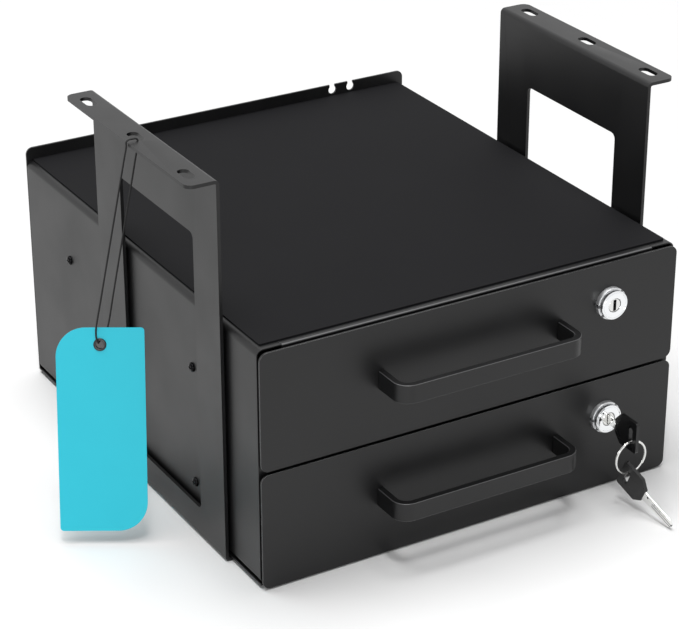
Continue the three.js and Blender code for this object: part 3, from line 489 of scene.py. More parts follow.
# A grid of points (rows, columns, 3) as a closed skin: columns join round, and the ends are capped
# unless the rows join round too.
def skin(grid, joinRows=False, degrees=35):
    rows, columns = grid.shape[:2]
    index = np.arange(rows * columns).reshape(rows, columns)
    after = np.roll(index, -1, axis=1)
    quads = np.stack([index, after, np.roll(after, -1, axis=0), np.roll(index, -1, axis=0)], -1)
    faces = (quads if joinRows else quads[:-1]).reshape(-1, 4).tolist()
    if not joinRows:
        faces += [index[0][::-1].tolist(), index[-1].tolist()]
    mesh = bpy.data.meshes.new("skin")
    mesh.from_pydata(grid.reshape(-1, 3).tolist(), [], faces)
    outward(mesh, mergeFirst=True)
    return smooth(mesh, degrees)


# A turned form: profile of (radius, height) in mm carried round an axis, the radius free to change
# with the angle by shape(r, h, angle). The axis is along X, Y or Z.
def turned(profile, centre, axis, steps, shape=None, joinRows=False, degrees=35):
    profile = np.asarray(profile, float) * mm
    t = np.linspace(0, 2 * np.pi, steps, endpoint=False)[None]
    r, h = profile[:, :1] + 0 * t, profile[:, 1:] + 0 * t
    if shape:
        r, h = shape(r, h, t + 0 * r)
    if axis[1]:
        first, second = Vector((1, 0, 0)), Vector((0, 0, 1))
    else:
        first = Vector((0, 1, 0))
        second = Vector(axis).cross(first)
    grid = (
        np.array(centre)
        + (r * np.cos(t))[..., None] * np.array(first)
        + (r * np.sin(t))[..., None] * np.array(second)
        + h[..., None] * np.array(axis)
    )
    return skin(grid, joinRows, degrees)


# Cabinet

cabinetFacts = {
    "sheet": 1.2, "hem": 9, "shellEdge": 0.3,
    "bend": 4.4, "bendSteps": 16,  # centre line of the bends
    "foldHalf": 151, "foldDepth": 14, "foldDrop": 9, "foldEdge": 0.25,
    "foldBend": 0.8, "foldSteps": 8,
    "foldGap": 0.2,  # joint between the folded strip and the sheet round it
    "panelCorner": 5.5, "panelEdge": 0.3,
    "notchFromRight": (50.4, 67.4),
    "notchRadius": 3.5, "notchMouth": 5, "notchDrop": 4.4, "notchSteps": 28,
    "matCorner": 1.5, "matEdge": 0.35,
}


def makeShell():
    facts = cabinetFacts
    low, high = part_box("cabinet_shell")
    half = facts["sheet"] / 2 * mm
    side = high.x - half
    bottom, top = low.z + half, high.z - half
    hem = facts["hem"] * mm
    line = [
        (-side + hem, bottom), (-side, bottom), (-side, top),
        (side, top), (side, bottom), (side - hem, bottom),
    ]
    middle = lengthsAlong(bentLine(line, facts["bend"] * mm, facts["bendSteps"]))[-1] / 2
    fold = facts["foldHalf"] * mm
    back = low.y + facts["foldDepth"] * mm
    outline = [
        (0, low.y), (middle - fold, low.y), (middle - fold, back), (middle + fold, back),
        (middle + fold, low.y), (2 * middle, low.y), (2 * middle, high.y), (0, high.y),
    ]
    loops = [np.array(outline)]
    mesh = foldedSheet(line, facts["bend"], loops, facts["sheet"], (0, 2, 1), facts["bendSteps"])
    piece = objectFrom("shellSheet", mesh, blackPaint, "cabinet", "black_paint", "cabinet_shell")
    softEdges(piece, facts["shellEdge"])

    front = low.y + half
    gap = facts["foldGap"] * mm
    strip = [(back + gap, top), (front, top), (front, high.z - facts["foldDrop"] * mm)]
    length = lengthsAlong(bentLine(strip, facts["foldBend"] * mm, facts["foldSteps"]))[-1]
    loops = [rectangle(0, -fold + gap, length, fold - gap)]
    mesh = foldedSheet(strip, facts["foldBend"], loops, facts["sheet"], (1, 2, 0), facts["foldSteps"])
    piece = objectFrom("shellFrontFold", mesh, foldPaint, "cabinet", "black_paint")
    softEdges(piece, facts["foldEdge"])


def makeRearPanel():
    facts = cabinetFacts
    low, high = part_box("rear_panel")
    corner = facts["panelCorner"] * mm
    r, mouth = facts["notchRadius"] * mm, facts["notchMouth"] * mm / 2
    level = high.z - facts["notchDrop"] * mm
    start = math.asin(mouth / r)
    arc = np.linspace(np.pi / 2 - start, -3 * np.pi / 2 + start, facts["notchSteps"])
    edge = [(low.x, low.z), (high.x, low.z)]
    edge += rounded([(high.x, low.z), (high.x, high.z), (low.x, high.z)], (0, corner, 0))[1:-1].tolist()
    for inset in facts["notchFromRight"]:
        x = high.x - inset * mm
        edge += [(x + mouth, high.z)]
        edge += np.stack([x + r * np.cos(arc), level + r * np.sin(arc)], 1).tolist()
        edge += [(x - mouth, high.z)]
    edge += rounded([(high.x, high.z), (low.x, high.z), (low.x, low.z)], (0, corner, 0))[1:-1].tolist()
    mesh = flatSheet([np.array(edge)], (high.y - low.y) / mm, (low.y + high.y) / 2, (0, 2, 1))
    piece = objectFrom("rearPanelSheet", mesh, blackPaint, "cabinet", "black_paint", "rear_panel")
    softEdges(piece, facts["panelEdge"])


def makeMat():
    facts = cabinetFacts
    low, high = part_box("top_mat")
    loop = rectangle(low.x, low.y, high.x, high.y, facts["matCorner"] * mm)
    mesh = flatSheet([loop], (high.z - low.z) / mm, (low.z + high.z) / 2, (0, 1, 2))
    piece = objectFrom("topMatSheet", mesh, matSurface, "cabinet", "top_mat", "top_mat")
    softEdges(piece, facts["matEdge"])


makeShell()
makeRearPanel()
makeMat()
print("cabinet made")


# Brackets

bracketFacts = {
    "sheet": 2.5, "bend": 2.45, "steps": 10, "edge": 0.35,
    "foot": 32,
    "window": (36.2, 149.0, 24.3, 238.0),  # front and rear from the front edge, bottom and top
    "windowRadius": 4.5, "windowSteps": 6,
    "slot": (8, 17.5, 75.2),  # width, length and spacing
    "slotPlaces": (-1, 0, 1),
    "slotFromPlate": 11.5,
    "corner": 6,
}


def makeBracket(side):
    facts = bracketFacts
    low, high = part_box(f"{side}_bracket")
    sign = -1 if side == "left" else 1
    half = facts["sheet"] / 2 * mm
    edge = max(abs(low.x), abs(high.x))
    footEnd = min(abs(low.x), abs(high.x))
    plate = footEnd + facts["foot"] * mm
    wall = plate - half
    line = [(footEnd, low.z + half), (wall, low.z + half), (wall, high.z - half), (edge, high.z - half)]
    steps = facts["steps"]
    path = bentLine(line, facts["bend"] * mm, steps)
    along = lengthsAlong(path)
    plateStart = along[steps + 1] - path[steps + 1][1]
    flangeStart = along[2 * steps + 2] - path[2 * steps + 2][0]
    corner = facts["corner"] * mm
    loops = [rectangle(0, low.y, along[-1], high.y, (0, corner, corner, 0), steps)]
    near, far, sill, lintel = (v * mm for v in facts["window"])
    window = (plateStart + sill, low.y + near, plateStart + lintel, low.y + far)
    loops.append(rectangle(*window, facts["windowRadius"] * mm, facts["windowSteps"]))
    width, length, pitch = (v * mm for v in facts["slot"])
    for k in facts["slotPlaces"]:
        u = flangeStart + plate + facts["slotFromPlate"] * mm
        w = (low.y + high.y) / 2 + k * pitch
        ends = (u - width / 2, w - length / 2, u + width / 2, w + length / 2)
        loops.append(rectangle(*ends, nearlyHalf * width, steps))
    line = [(sign * x, z) for x, z in line]
    mesh = foldedSheet(line, facts["bend"], loops, facts["sheet"], (0, 2, 1), steps)
    name = f"{side}BracketSheet"
    piece = objectFrom(name, mesh, blackPaint, "cabinet", "black_paint", f"{side}_bracket")
    softEdges(piece, facts["edge"])


for side in ("left", "right"):
    makeBracket(side)
print("brackets made")


# Screws

slideScrewFacts = {
    "head": 7, "height": 2.2,
    "rim": 0.25, "rimRound": 0.15,  # height of the head's rim under its dome
    "fullness": 0.55,
    "crown": 2.6, "crownSteps": 26,  # radius of the middle part that carries the recess
    "shank": 1.8, "shankDepth": 0.4,
    "recess": (2.3, 0.9, 1.1),  # reach, width and depth
}

footScrewFacts = {
    "head": 8.8, "rim": 0.2, "sink": 2.3,
    "face": 0.05, "faceInset": 0.1, "faceSteps": 30,
    "shank": 2.4, "point": 2.0, "pointLength": 0.6,
    "recess": (2.6, 1.0, 1.6),
}

recessFacts = {"wall": 0.12, "end": 0.5, "domeSteps": 9, "screwSides": 96}


# Profile of a domed screw head from its rim to its crown, radius * cos(angle) ** fullness
def roundTop(radius, height, crown, fullness):
    t = np.linspace(0, np.pi / 2, recessFacts["domeSteps"])
    return [(radius * math.cos(a) ** fullness, height + crown * math.sin(a)) for a in t]


# Cross recess: four slots round the middle; depth falls off with the distance from either slot's
# line and with the radius.
def crossRecess(reach, width, depth):
    wall, end = recessFacts["wall"] * mm, recessFacts["end"] * mm

    def shape(r, h, t):
        near = np.minimum(np.abs(r * np.cos(t)), np.abs(r * np.sin(t)))
        inside = np.clip((width * mm / 2 - near) / wall, 0, 1)
        inward = np.clip((reach * mm - r) / end, 0, 1)
        return r, h - depth * mm * inside * inward
    return shape


def makeScrew(node, profile, centre, axis, recess):
    mesh = turned(profile, centre, axis, recessFacts["screwSides"], crossRecess(*recess))
    name = "".join(word.title() for word in node.split("_"))
    objectFrom(name, mesh, blackOxide, "cabinet", "black_screw", node)


def makeSlideScrew(node):
    facts = slideScrewFacts
    low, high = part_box(node)
    sign = -1 if high.x < 0 else 1
    face = (high.x if sign > 0 else low.x) - sign * facts["height"] * mm
    centre = (face, (low.y + high.y) / 2, (low.z + high.z) / 2)
    radius, shank, rimRound = facts["head"] / 2, facts["shank"], facts["rimRound"]
    dome = roundTop(radius, facts["rim"], facts["height"] - facts["rim"], facts["fullness"])
    crown = np.linspace(1, 0, facts["crownSteps"])[1:] * facts["crown"]
    heights = np.interp(crown, [p[0] for p in dome][::-1], [p[1] for p in dome][::-1])
    profile = [(shank, -facts["shankDepth"]), (shank, 0), (radius - rimRound, 0), (radius, rimRound)]
    profile += [p for p in dome if p[0] > facts["crown"]]
    profile += list(zip(crown, heights))
    makeScrew(node, profile, centre, (sign, 0, 0), facts["recess"])


def makeFootScrew(node):
    facts = footScrewFacts
    low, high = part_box(node)
    centre = ((low.x + high.x) / 2, (low.y + high.y) / 2, low.z)
    radius, shank, length = facts["head"] / 2, facts["shank"], (high.z - low.z) / mm
    inner = radius - facts["faceInset"]
    profile = [
        (0, -length), (facts["point"], -length), (shank, -length + facts["pointLength"]),
        (shank, -facts["sink"]), (radius, -facts["rim"]),
    ]
    profile += [(inner * f, -facts["face"]) for f in np.linspace(1, 0, facts["faceSteps"])]
    makeScrew(node, profile, centre, (0, 0, -1), facts["recess"])


for node in sorted(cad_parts):
    if "slide_screw" in node:
        makeSlideScrew(node)
    elif "foot_screw" in node:
        makeFootScrew(node)
print("screws made")


# Drawers

drawerFacts = {
    "corner": 6, "cornerSteps": 12, "frontEdge": 0.6,
    "bar": 5, "barBend": 9.5, "barSteps": 14, "barEdge": 0.6,
    "edgeSteps": 3,
}


def makeDrawerFront(where):
    facts = drawerFacts
    node = f"{where}_drawer_front"
    low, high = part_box(node)
    loop = rectangle(low.x, low.z, high.x, high.z, facts["corner"] * mm, facts["cornerSteps"])
    mesh = flatSheet([loop], (high.y - low.y) / mm, (low.y + high.y) / 2, (0, 2, 1))
    piece = objectFrom(f"{where}FrontPanel", mesh, frontPaint, f"{where}_drawer", "front_paint", node)
    softEdges(piece, facts["frontEdge"], facts["edgeSteps"])


def makeHandle(where):
    facts = drawerFacts
    node = f"{where}_handle"
    low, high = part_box(node)
    half = facts["bar"] / 2 * mm
    line = [
        (low.x + half, high.y), (low.x + half, low.y + half),
        (high.x - half, low.y + half), (high.x - half, high.y),
    ]
    length = lengthsAlong(bentLine(line, facts["barBend"] * mm, facts["barSteps"]))[-1]
    loops = [rectangle(0, low.z, length, high.z)]
    mesh = foldedSheet(line, facts["barBend"], loops, facts["bar"], (0, 1, 2), facts["barSteps"])
    piece = objectFrom(f"{where}HandleBar", mesh, barPaint, f"{where}_drawer", "front_paint", node)
    softEdges(piece, facts["barEdge"], facts["edgeSteps"])


for where in ("lower", "upper"):
    makeDrawerFront(where)
    makeHandle(where)
print("drawers made")


# Locks

lockFacts = {
    "face": 22, "sides": 128, "sharpAngle": 25,
    "faceRound": ((0.6, 0), (0.25, 0.12), (0.06, 0.35), (0, 0.7)),  # in from the rim, and down
    "backRound": 0.2,
    "clearance": 0.3, "boreRound": 0.3,
    "wall": 2, "depth": 6,  # of the barrel round its bore
    "groove": 19.2, "grooveWidth": 0.7, "grooveDepth": 0.5, "grooveRound": 0.1,
    "neck": 19.4, "neckLength": 0.6,
    "trim": 24.2, "trimThick": 3.5, "trimSides": 360,
    "trimRound": ((0, 0.5), (0.15, 0.15), (0.5, 0)),
    "trimInside": 4,  # beyond the bore
    "trimLift": 0.02,
    "notches": (0, 45, 180, 225),
    "notchHalf": 6.2, "notchRunOut": 1.2,  # in degrees
    "notchDepth": 1.9, "notchSkin": 0.8,
}

plugFacts = {
    "face": 10, "chamfer": 0.25, "end": 24.8,
    "tail": 6, "tailEnd": 28,
    "peen": 9, "peenChamfer": 0.4,
    "sides": 72,
    "keyway": (2.6, 8.6, 20.9),  # width, height and depth
    "keywayCorner": 0.4, "keywaySteps": 4,
}


# Lock plug: its front has the keyway cut out, and the slot's walls go in to a flat floor. The rest is
# turned: rings of (radius, depth) from the front's rim to the peened end of the tail.
def plugMesh(where):
    facts = plugFacts
    low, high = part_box(f"{where}_lock_plug")
    axis = (low + high) / 2
    radius, tail, peen = facts["face"] / 2, facts["tail"] / 2, facts["peen"] / 2
    width, height, deep = facts["keyway"]
    end = (high.y - low.y) / mm
    rings = [
        (radius - facts["chamfer"], 0), (radius, facts["chamfer"]), (radius, facts["end"]),
        (tail, facts["end"]), (tail, facts["tailEnd"]), (peen, facts["tailEnd"]),
        (peen, end - facts["peenChamfer"]), (peen - facts["peenChamfer"], end),
    ]
    sides = facts["sides"]
    corner, steps = facts["keywayCorner"], facts["keywaySteps"]
    slot = rectangle(-width / 2, -height / 2, width / 2, height / 2, corner, steps)
    levels = [np.column_stack([circle(r, sides), np.full(sides, depth)]) for r, depth in rings]
    levels += [np.column_stack([slot, np.full(len(slot), depth)]) for depth in (0, deep)]
    points = np.concatenate(levels)[:, [0, 2, 1]] * mm + np.array((axis.x, low.y, axis.z))
    turn = np.arange(sides)
    after = np.roll(turn, -1)
    faces = [
        np.stack([turn, after, sides + after, sides + turn], 1) + k * sides
        for k in range(len(rings) - 1)
    ]
    mouth = len(rings) * sides + np.arange(len(slot))
    floor = mouth + len(slot)
    faces.append(np.stack([mouth, np.roll(mouth, -1), np.roll(floor, -1), floor], 1))
    front = np.concatenate([turn, mouth])
    flat = [[Vector((x, z, 0)) for x, z in loop] for loop in (levels[0][:, :2], slot)]
    caps = [front[list(corners)].tolist() for corners in tessellate_polygon(flat)]
    caps += [floor.tolist(), (turn + (len(rings) - 1) * sides).tolist()]
    mesh = bpy.data.meshes.new("plug")
    mesh.from_pydata(points.tolist(), [], np.concatenate(faces).tolist() + caps)
    outward(mesh)
    return smooth(mesh)


# Lock face: (radius, height off the drawer front) round the bore, with a turned groove near its rim
def lockFaceProfile(face):
    facts = lockFacts
    radius, groove = facts["face"] / 2, facts["groove"] / 2
    bore = plugFacts["face"] / 2 + facts["clearance"]
    back = facts["trimThick"] + facts["neckLength"]
    inside, outside = groove - facts["grooveWidth"] / 2, groove + facts["grooveWidth"] / 2
    floor, lip = face - facts["grooveDepth"], facts["grooveRound"]
    return [
        (bore, face - facts["depth"]),
        (bore, face - facts["boreRound"]), (bore + facts["boreRound"], face),
        (inside - lip, face), (inside, face - lip), (inside, floor),
        (outside, floor), (outside, face - lip), (outside + lip, face),
        *((radius - inward, face - down) for inward, down in facts["faceRound"]),
        (radius, back + facts["backRound"]), (radius - facts["backRound"], back),
        (facts["neck"] / 2, back), (facts["neck"] / 2, facts["trimThick"]),
        (bore + facts["wall"], facts["trimThick"]), (bore + facts["wall"], face - facts["depth"]),
    ]


# Trim ring's notches: the outer radius drops by notchDepth within notchHalf degrees of each notch
def notched(r, h, t):
    facts = lockFacts
    cut = np.zeros_like(t)
    for degrees in facts["notches"]:
        off = np.abs((np.degrees(t) - degrees + 180) % 360 - 180)
        cut = np.maximum(cut, np.clip((facts["notchHalf"] - off) / facts["notchRunOut"], 0, 1))
    outside = r > (facts["trim"] / 2 - facts["notchSkin"]) * mm
    return np.where(outside, r - facts["notchDepth"] * mm * cut, r), h


def makeLock(where):
    facts = lockFacts
    drawer = f"{where}_drawer"
    axis = middleOf(f"{where}_lock_plug")
    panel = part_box(f"{where}_drawer_front")[0].y
    face = (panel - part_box(f"{where}_lock_body")[0].y) / mm
    centre, out, sharp = (axis.x, panel, axis.z), (0, -1, 0), facts["sharpAngle"]
    mesh = turned(lockFaceProfile(face), centre, out, facts["sides"], joinRows=True, degrees=sharp)
    objectFrom(f"{where}LockFace", mesh, chrome, drawer, "chrome", f"{where}_lock_body")
    outer, thick, lift = facts["trim"] / 2, facts["trimThick"], facts["trimLift"]
    inner = plugFacts["face"] / 2 + facts["clearance"] + facts["trimInside"]
    ring = [(inner, lift), (outer, lift)]
    ring += [(outer - inward, thick - down) for inward, down in facts["trimRound"]]
    ring += [(inner, thick)]
    mesh = turned(ring, centre, out, facts["trimSides"], notched, joinRows=True, degrees=sharp)
    objectFrom(f"{where}LockTrim", mesh, castZinc, drawer, "chrome", f"{where}_lock_trim_ring")
    mesh = plugMesh(where)
    objectFrom(f"{where}LockPlug", mesh, nickel, f"{where}_lock", "brass", f"{where}_lock_plug")


for where in ("lower", "upper"):
    makeLock(where)
print("locks made")


# Keys

keyFacts = {
    "clearance": 0.3,
    "bladeWidth": 8, "bladeThick": 2, "bladeLength": 30, "tang": 5,
    "tipChamfer": 2.4, "tipRound": 0.5,
    "bladeRows": 220, "bladeSides": 160, "crease": 40,
    "flatness": 1.06,  # of the blade's two narrow edges
    "squareness": 5, "bowPower": 8, "bowEase": 0.02,  # of its section's corners
    "headLength": 25.5, "headWidth": 24, "headThick": 2.6,
    "headEdge": 0.4, "headEdgeSteps": 3,
    "headCorners": (0.8, 0.8, 1.6, 1.8, 1.8, 1.6),
    "neckWidth": 11, "shoulder": 6.5,
    "hole": (4.2, 12.6), "holeFromEnd": 6.5,
    "yaw": 10, "roll": 6,
}

millingFacts = {
    "grooves": (1.0, -1.0), "groovesFrom": 8.5,
    "grooveHalf": 0.36, "grooveDepth": 0.32, "grooveRunIn": 0.8,
    "dimples": (  # along the blade, across it, and radius
        (3.4, 2.2, 0.95), (11, 2.7, 0.6), (14, 2.7, 0.5), (17, 2.7, 0.6), (21.5, 2.7, 0.5),
    ),
    "dimpleDepth": 0.4, "dimpleWall": 0.3,
    # milling depth at which the painted shade in the grooves is full
    "darkFrom": 0.25,
}

ringFacts = {
    "radius": 12.7, "wire": 1.6,
    "section": (0.76, 0.3),  # half depth and half thickness of the flattened wire
    "sectionPowers": (0.6, 0.7),
    "halfTurns": (0.12, 3.88),
    "stepFrom": 1.78, "stepLength": 0.44,  # in half turns
    "stepWidth": 0.66,
    "startAngle": -60,
    "endTaper": 0.05, "endLeft": 0.02,
    "steps": 300, "sides": 20, "crease": 40,
}


def spareKeyPlace():  # hangs on the foot of the ring, its blade just over the surface
    facts = keyFacts
    wire = ringFacts["wire"] / 2
    low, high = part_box("key_ring")
    hang = Vector(((low.x + high.x) / 2, (low.y + high.y) / 2, low.z + wire * mm))
    roll = math.radians(facts["roll"])
    holeAlong = -facts["headLength"] + facts["holeFromEnd"]
    seat = facts["hole"][1] / 2 - wire - facts["clearance"]
    along = facts["bladeLength"] - facts["tipChamfer"] - holeAlong
    halfBlade = facts["bladeWidth"] / 2 * math.cos(roll) + facts["bladeThick"] / 2 * abs(math.sin(roll))
    below = seat * math.cos(roll) + halfBlade
    fall = hang.z / mm - facts["clearance"]
    lean = math.asin(fall / math.hypot(along, below)) - math.atan2(below, along)
    turn = (
        Matrix.Rotation(math.pi + math.radians(facts["yaw"]), 4, "Z")
        @ Matrix.Rotation(-lean, 4, "X")
        @ Matrix.Rotation(roll, 4, "Y")
    )
    return Matrix.Translation(hang) @ turn @ Matrix.Translation((0, -holeAlong * mm, -seat * mm))


def insertedKeyPlace():
    low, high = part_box("key_head")
    root = high.y + keyFacts["clearance"] * mm
    return Matrix.Translation(((low.x + high.x) / 2, root, (low.z + high.z) / 2))


# Depth of the milling on both faces of a blade, in mm: two grooves along it, each
# exp(-(distance / half width)^4) deep, and a row of round dimples.
def millings(y, z):
    facts = millingFacts
    depth = np.zeros(np.broadcast(y, z).shape)
    for level in facts["grooves"]:
        across = np.exp(-((z - level) / facts["grooveHalf"]) ** 4)
        along = np.clip((y - facts["groovesFrom"]) / facts["grooveRunIn"], 0, 1)
        depth += facts["grooveDepth"] * across * along
    for along, across, r in facts["dimples"]:
        inside = np.clip((r - np.hypot(y - along, z - across)) / facts["dimpleWall"], 0, 1)
        depth = np.maximum(depth, facts["dimpleDepth"] * inside)
    return depth


# Blade: a rounded flat section whose half width narrows to the tip,
# x = side * (half thickness * bow(z) - millings(y, z)).
def keyBladeMesh():
    facts = keyFacts
    length, wide, thick = facts["bladeLength"], facts["bladeWidth"] / 2, facts["bladeThick"] / 2
    y = np.linspace(-facts["tang"], length, facts["bladeRows"])[:, None]
    half = np.minimum(wide, wide - facts["tipChamfer"] + length - y)
    half = half - facts["tipRound"] * np.clip(1 - (length - y) / facts["tipRound"], 0, 1)
    around = np.linspace(0, 2 * np.pi, facts["bladeSides"], endpoint=False)[None]
    z = half * np.clip(facts["flatness"] * np.arcsin(np.sin(around)) / (np.pi / 2), -1, 1)
    side = np.clip(facts["squareness"] * np.cos(around), -1, 1)
    bow = np.sqrt(np.clip(1 - (z / (half + facts["bowEase"])) ** facts["bowPower"], 0, 1))
    x = side * (thick * bow - millings(y, z))
    mesh = skin(np.stack([x + 0 * y, y + 0 * z, z], -1) * mm, degrees=facts["crease"])
    points = pointsOf(mesh) / mm
    # painted shade: the deeper the milling, the darker the blade is drawn there
    share = np.clip(millings(points[:, 1], points[:, 2]) / millingFacts["darkFrom"], 0, 1)
    mesh.attributes.new("milled", "FLOAT", "POINT").data.foreach_set("value", share)
    return mesh


def keyHeadMesh():
    facts = keyFacts
    neck, half, length = facts["neckWidth"] / 2, facts["headWidth"] / 2, facts["headLength"]
    corners = [
        (-facts["clearance"], -neck), (-facts["clearance"], neck), (-facts["shoulder"], half),
        (-length, half), (-length, -half), (-facts["shoulder"], -half),
    ]
    outline = rounded(np.array(corners) * mm, np.array(facts["headCorners"]) * mm)
    across, along = (v / 2 for v in facts["hole"])
    middle = -length + facts["holeFromEnd"]
    hole = np.array([middle - across, -along, middle + across, along]) * mm
    loops = [outline, rectangle(*hole, nearlyHalf * 2 * across * mm)]
    return flatSheet(loops, facts["headThick"], 0, (1, 2, 0))


def makeKey(name, place, body, bladeNode, headNode):
    mesh = placed(keyBladeMesh(), place)
    objectFrom(f"{name}Blade", mesh, keySteel, body, "nickel_steel", bladeNode)
    mesh = placed(keyHeadMesh(), place)
    piece = objectFrom(f"{name}Head", mesh, keyPlastic, body, "black_plastic", headNode)
    softEdges(piece, keyFacts["headEdge"], keyFacts["headEdgeSteps"])


# Split ring: almost two turns of flattened wire side by side, stepping across between them.
# y = step(angle) and the section is a superellipse, 1.5 mm deep and 0.6 mm thick.
def makeRing():
    facts = ringFacts
    centre = np.array(middleOf("key_ring"))
    first, last = (v * np.pi for v in facts["halfTurns"])
    t = np.linspace(first, last, facts["steps"])[:, None]
    s = np.clip((t - facts["stepFrom"] * np.pi) / (facts["stepLength"] * np.pi), 0, 1)
    shift = facts["stepWidth"] * (s * s * (3 - 2 * s) - 0.5)
    around = np.linspace(0, 2 * np.pi, facts["sides"], endpoint=False)[None]
    section = zip(facts["section"], (np.cos(around), np.sin(around)), facts["sectionPowers"])
    radial, flat = (size * np.sign(part) * np.abs(part) ** power for size, part, power in section)
    fromEnd = np.minimum(t - t[0], t[-1] - t)
    ends = np.sqrt(np.clip(fromEnd / facts["endTaper"], facts["endLeft"], 1))
    radius = facts["radius"] + radial * ends
    angle = t + math.radians(facts["startAngle"])
    x = radius * np.cos(angle)
    z = radius * np.sin(angle)
    y = shift + flat * ends
    mesh = skin(centre + np.stack([x, y, z], -1) * mm, degrees=facts["crease"])
    objectFrom("splitRing", mesh, nickel, "ring", "nickel_steel", "key_ring")


makeKey("insertedKey", insertedKeyPlace(), "key", "key_blade", "key_head")
makeKey("spareKey", spareKeyPlace(), "spare_key", "spare_key_blade", "spare_key_head")
makeRing()
print("keys made")


# Hang tag

tagFacts = {
    "yaw": 30, "tilt": 14,
    "eyelet": (  # radius and height of its section
        (2.85, -1.3), (3.05, -1.4), (3.7, -1.4), (4.3, -1.2), (4.55, -0.95), (4.55, -0.8), (3.3, -0.8),
        (3.3, 0.8), (4.55, 0.8), (4.55, 0.95), (4.3, 1.2), (3.7, 1.4), (3.05, 1.4), (2.85, 1.3),
    ),
    "eyeletSides": 72,
    "string": 1.3, "stringPoints": 620, "stringSides": 18, "crease": 60,
    "plies": 3, "plyDepth": 0.22, "plyRound": 0.6,
    "lay": 4.5,  # mm of string in which its plies go once round
    "sideways": (0.35, 0.93, 0.1),  # a direction that the string never takes
}

# Line of the string in mm from the tag's hole, as the frame holds it
stringLine = [
    (-0.78, 0.45, 1.24), (-1.25, -0.26, 1.55), (-1.98, -0.82, 2.69), (-2.56, -0.04, 5.48),
    (-2.2, 0.98, 9.34), (-1.99, 0.46, 13.5), (2.11, -0.8, 35), (8.79, -2.85, 70), (16.05, -5.08, 108),
    (21.39, -6.72, 136), (23.3, -7.3, 146), (23.45, -7.3, 149), (24.9, -7.3, 150.2),
    (27.8, -7.3, 150.4), (30.6, -7.3, 150.2), (31.8, -7.3, 149), (31.9, -7.3, 146),
    (30.09, -6.64, 136), (25, -4.78, 108),
    (18.11, -2.27, 70), (11.76, 0.05, 35), (7.84, 1.48, 13.4), (6.5, 2.46, 7.94), (4.06, 2.64, 4.08),
    (1.7, 2.55, 1.92), (0.1, 1.78, 1), (-0.49, 0.95, 1.09),
]


# Smooth line through the points, in evenly spaced steps. Each span is blended from straight lines
# through its four nearest points, whose places on it are apart by the roots of their distances.
def curveThrough(points, count, perSpan=40):
    p = np.asarray(points, float)
    p = np.concatenate([2 * p[:1] - p[1:2], p, 2 * p[-1:] - p[-2:-1]])
    out = []
    for a, b, c, d in zip(p, p[1:], p[2:], p[3:]):
        k = [0.0]
        for u, v in ((a, b), (b, c), (c, d)):
            k.append(k[-1] + np.linalg.norm(v - u) ** 0.5)
        t = np.linspace(k[1], k[2], perSpan, endpoint=False)[:, None]
        ab = ((k[1] - t) * a + t * b) / k[1]
        bc = ((k[2] - t) * b + (t - k[1]) * c) / (k[2] - k[1])
        cd = ((k[3] - t) * c + (t - k[2]) * d) / (k[3] - k[2])
        abc = ((k[2] - t) * ab + t * bc) / k[2]
        bcd = ((k[3] - t) * bc + (t - k[1]) * cd) / (k[3] - k[1])
        out.append(((k[2] - t) * abc + (t - k[1]) * bcd) / (k[2] - k[1]))
    dense = np.concatenate([*out, p[-2:-1]])
    s = lengthsAlong(dense)
    even = np.linspace(0, s[-1], count)
    return np.stack([np.interp(even, s, dense[:, i]) for i in range(3)], 1), float(s[-1])


# Plies twisted round the line: radius = r * (1 - depth + depth * |cos(a)| ** 0.6), where a is
# plies / 2 * (angle - turn) and turn goes once round in each lay. A side vector frames the line.
def twistedString(line):
    facts = tagFacts
    tangent = np.gradient(line, axis=0)
    tangent /= np.linalg.norm(tangent, axis=1)[:, None]
    side = np.cross(tangent, facts["sideways"])
    side /= np.linalg.norm(side, axis=1)[:, None]
    other = np.cross(tangent, side)
    turn = 2 * np.pi * lengthsAlong(line)[:, None] / (facts["lay"] * mm)
    a = np.linspace(0, 2 * np.pi, facts["stringSides"], endpoint=False)[None]
    ply = np.abs(np.cos(facts["plies"] / 2 * (a - turn))) ** facts["plyRound"]
    r = facts["string"] / 2 * mm * (1 - facts["plyDepth"] + facts["plyDepth"] * ply)
    offset = (r * np.cos(a))[..., None] * side[:, None] + (r * np.sin(a))[..., None] * other[:, None]
    return skin(line[:, None] + offset, degrees=facts["crease"])


def makeTag():
    facts = tagFacts
    hole = middleOf("tag_eyelet")
    yaw, tilt = math.radians(facts["yaw"]), math.radians(facts["tilt"])
    turn = Matrix.Translation(hole) @ Matrix.Rotation(-yaw, 4, "Z") @ Matrix.Rotation(-tilt, 4, "X")
    mesh = turned(facts["eyelet"], (0, 0, 0), (0, 1, 0), facts["eyeletSides"], joinRows=True)
    objectFrom("tagEyelet", placed(mesh, turn), eyeletPaint, "cabinet", "tag_black", "tag_eyelet")
    line, length = curveThrough(stringLine, facts["stringPoints"])
    line = np.array(hole) + line * mm
    mesh = twistedString(line)
    string = objectFrom("tagString", mesh, stringSurface, "cabinet", "tag_black", "tag_string")
    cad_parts["hang_tag"].visible_glossy = False  # its mirror image would tint the paint behind it


makeTag()
print("tag made")


# CAD nodes that stay as they are take their finishes here

finishes = {
    "bottom_plate": blackPaint, "divider_rail": blackPaint, "lower_drawer_box": blackPaint,
    "upper_drawer_box": blackPaint, "hang_tag": cardSurface,
}
for name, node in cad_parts.items():
    if node.hide_render:
        continue
    if name.endswith(("outer_rail", "inner_rail", "lock_cam", "lock_nut", "screw_left", "screw_right")):
        finishes[name] = zinc
    elif name.endswith("ball_cage"):
        finishes[name] = yellowZinc
for name, surface in finishes.items():
    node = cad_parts[name]
    node.data.materials.clear()
    node.data.materials.append(surface)
print("finishes set")


# Floor, world and lamps

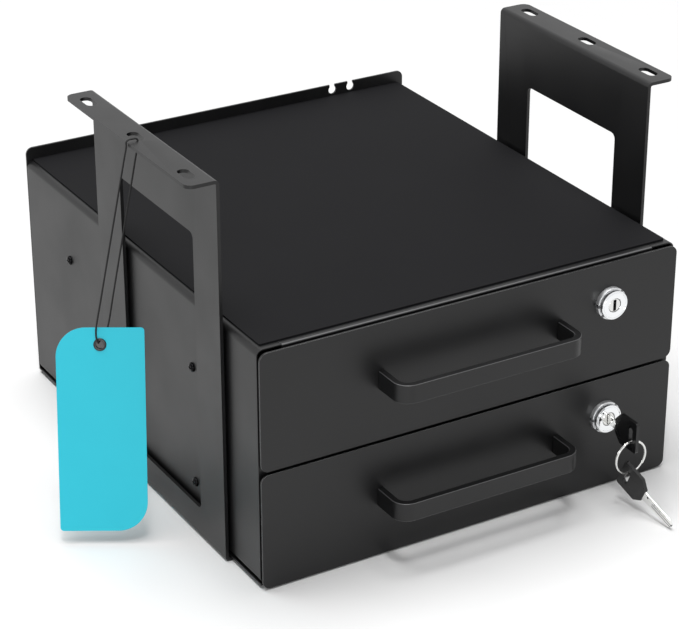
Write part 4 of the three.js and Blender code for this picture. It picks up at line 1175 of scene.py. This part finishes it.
studioFacts = {
    "worldLight": 0.19,
    "floor": 0.85,
    "floorHalf": 6,
    "lamps": [  # name, place and target in metres, width in metres, watts
        ("softbox", (-0.35, 1.0, 6.4), (0, 0, 0), 3.9, 390),
        ("frontBox", (-1.0, -1.9, 6.4), (0, 0, 0), 1.0, 92),
        ("fillPanel", (-1.3, -2.0, 0.6), (0, 0, 0.15), 0.5, 15),
    ],
}


def makeWorld():  # white where the camera or a reflection looks at it, dim as a light
    world = bpy.data.worlds.new("paleStudio")
    bpy.context.scene.world = world
    tree = emptyTree(world)
    rays = add(tree, "ShaderNodeLightPath").outputs
    seen = rays["Is Camera Ray"]
    for ray in ("Is Glossy Ray", "Is Transmission Ray"):
        seen = add(tree, "ShaderNodeMath", {"operation": "MAXIMUM"}, {0: seen, 1: rays[ray]}).outputs[0]
    settings = {"To Min": studioFacts["worldLight"], "To Max": 1.0}
    level = add(tree, "ShaderNodeMapRange", settings, {"Value": seen}).outputs["Result"]
    sky = add(tree, "ShaderNodeBackground", {"Color": (1, 1, 1, 1)}, {"Strength": level})
    add(tree, "ShaderNodeOutputWorld", links={"Surface": sky.outputs["Background"]})


def makeFloor():
    half, pale = studioFacts["floorHalf"], studioFacts["floor"]
    corners = [(-half, -half, 0), (half, -half, 0), (half, half, 0), (-half, half, 0)]
    mesh = bpy.data.meshes.new("studioFloor")
    mesh.from_pydata(corners, [], [(0, 1, 2, 3)])
    floor = newObject("studioFloor", mesh)
    material = bpy.data.materials.new("paleFloor")
    tree = emptyTree(material)
    matt = add(tree, "ShaderNodeBsdfDiffuse", {"Color": (pale, pale, pale, 1)})
    add(tree, "ShaderNodeOutputMaterial", links={"Surface": matt.outputs[0]})
    mesh.materials.append(material)


def makeLamp(name, place, target, width, power):
    data = bpy.data.lights.new(name, "AREA")
    data.shape = "SQUARE"
    data.size = width
    data.energy = power
    lamp = newObject(name, data)
    lamp.location = place
    lamp.rotation_mode = "QUATERNION"
    lamp.rotation_quaternion = (Vector(place) - Vector(target)).to_track_quat("Z", "Y")


makeWorld()
makeFloor()
for lampFacts in studioFacts["lamps"]:
    makeLamp(*lampFacts)
bpy.context.scene.view_settings.view_transform = "Standard"
print("studio made")
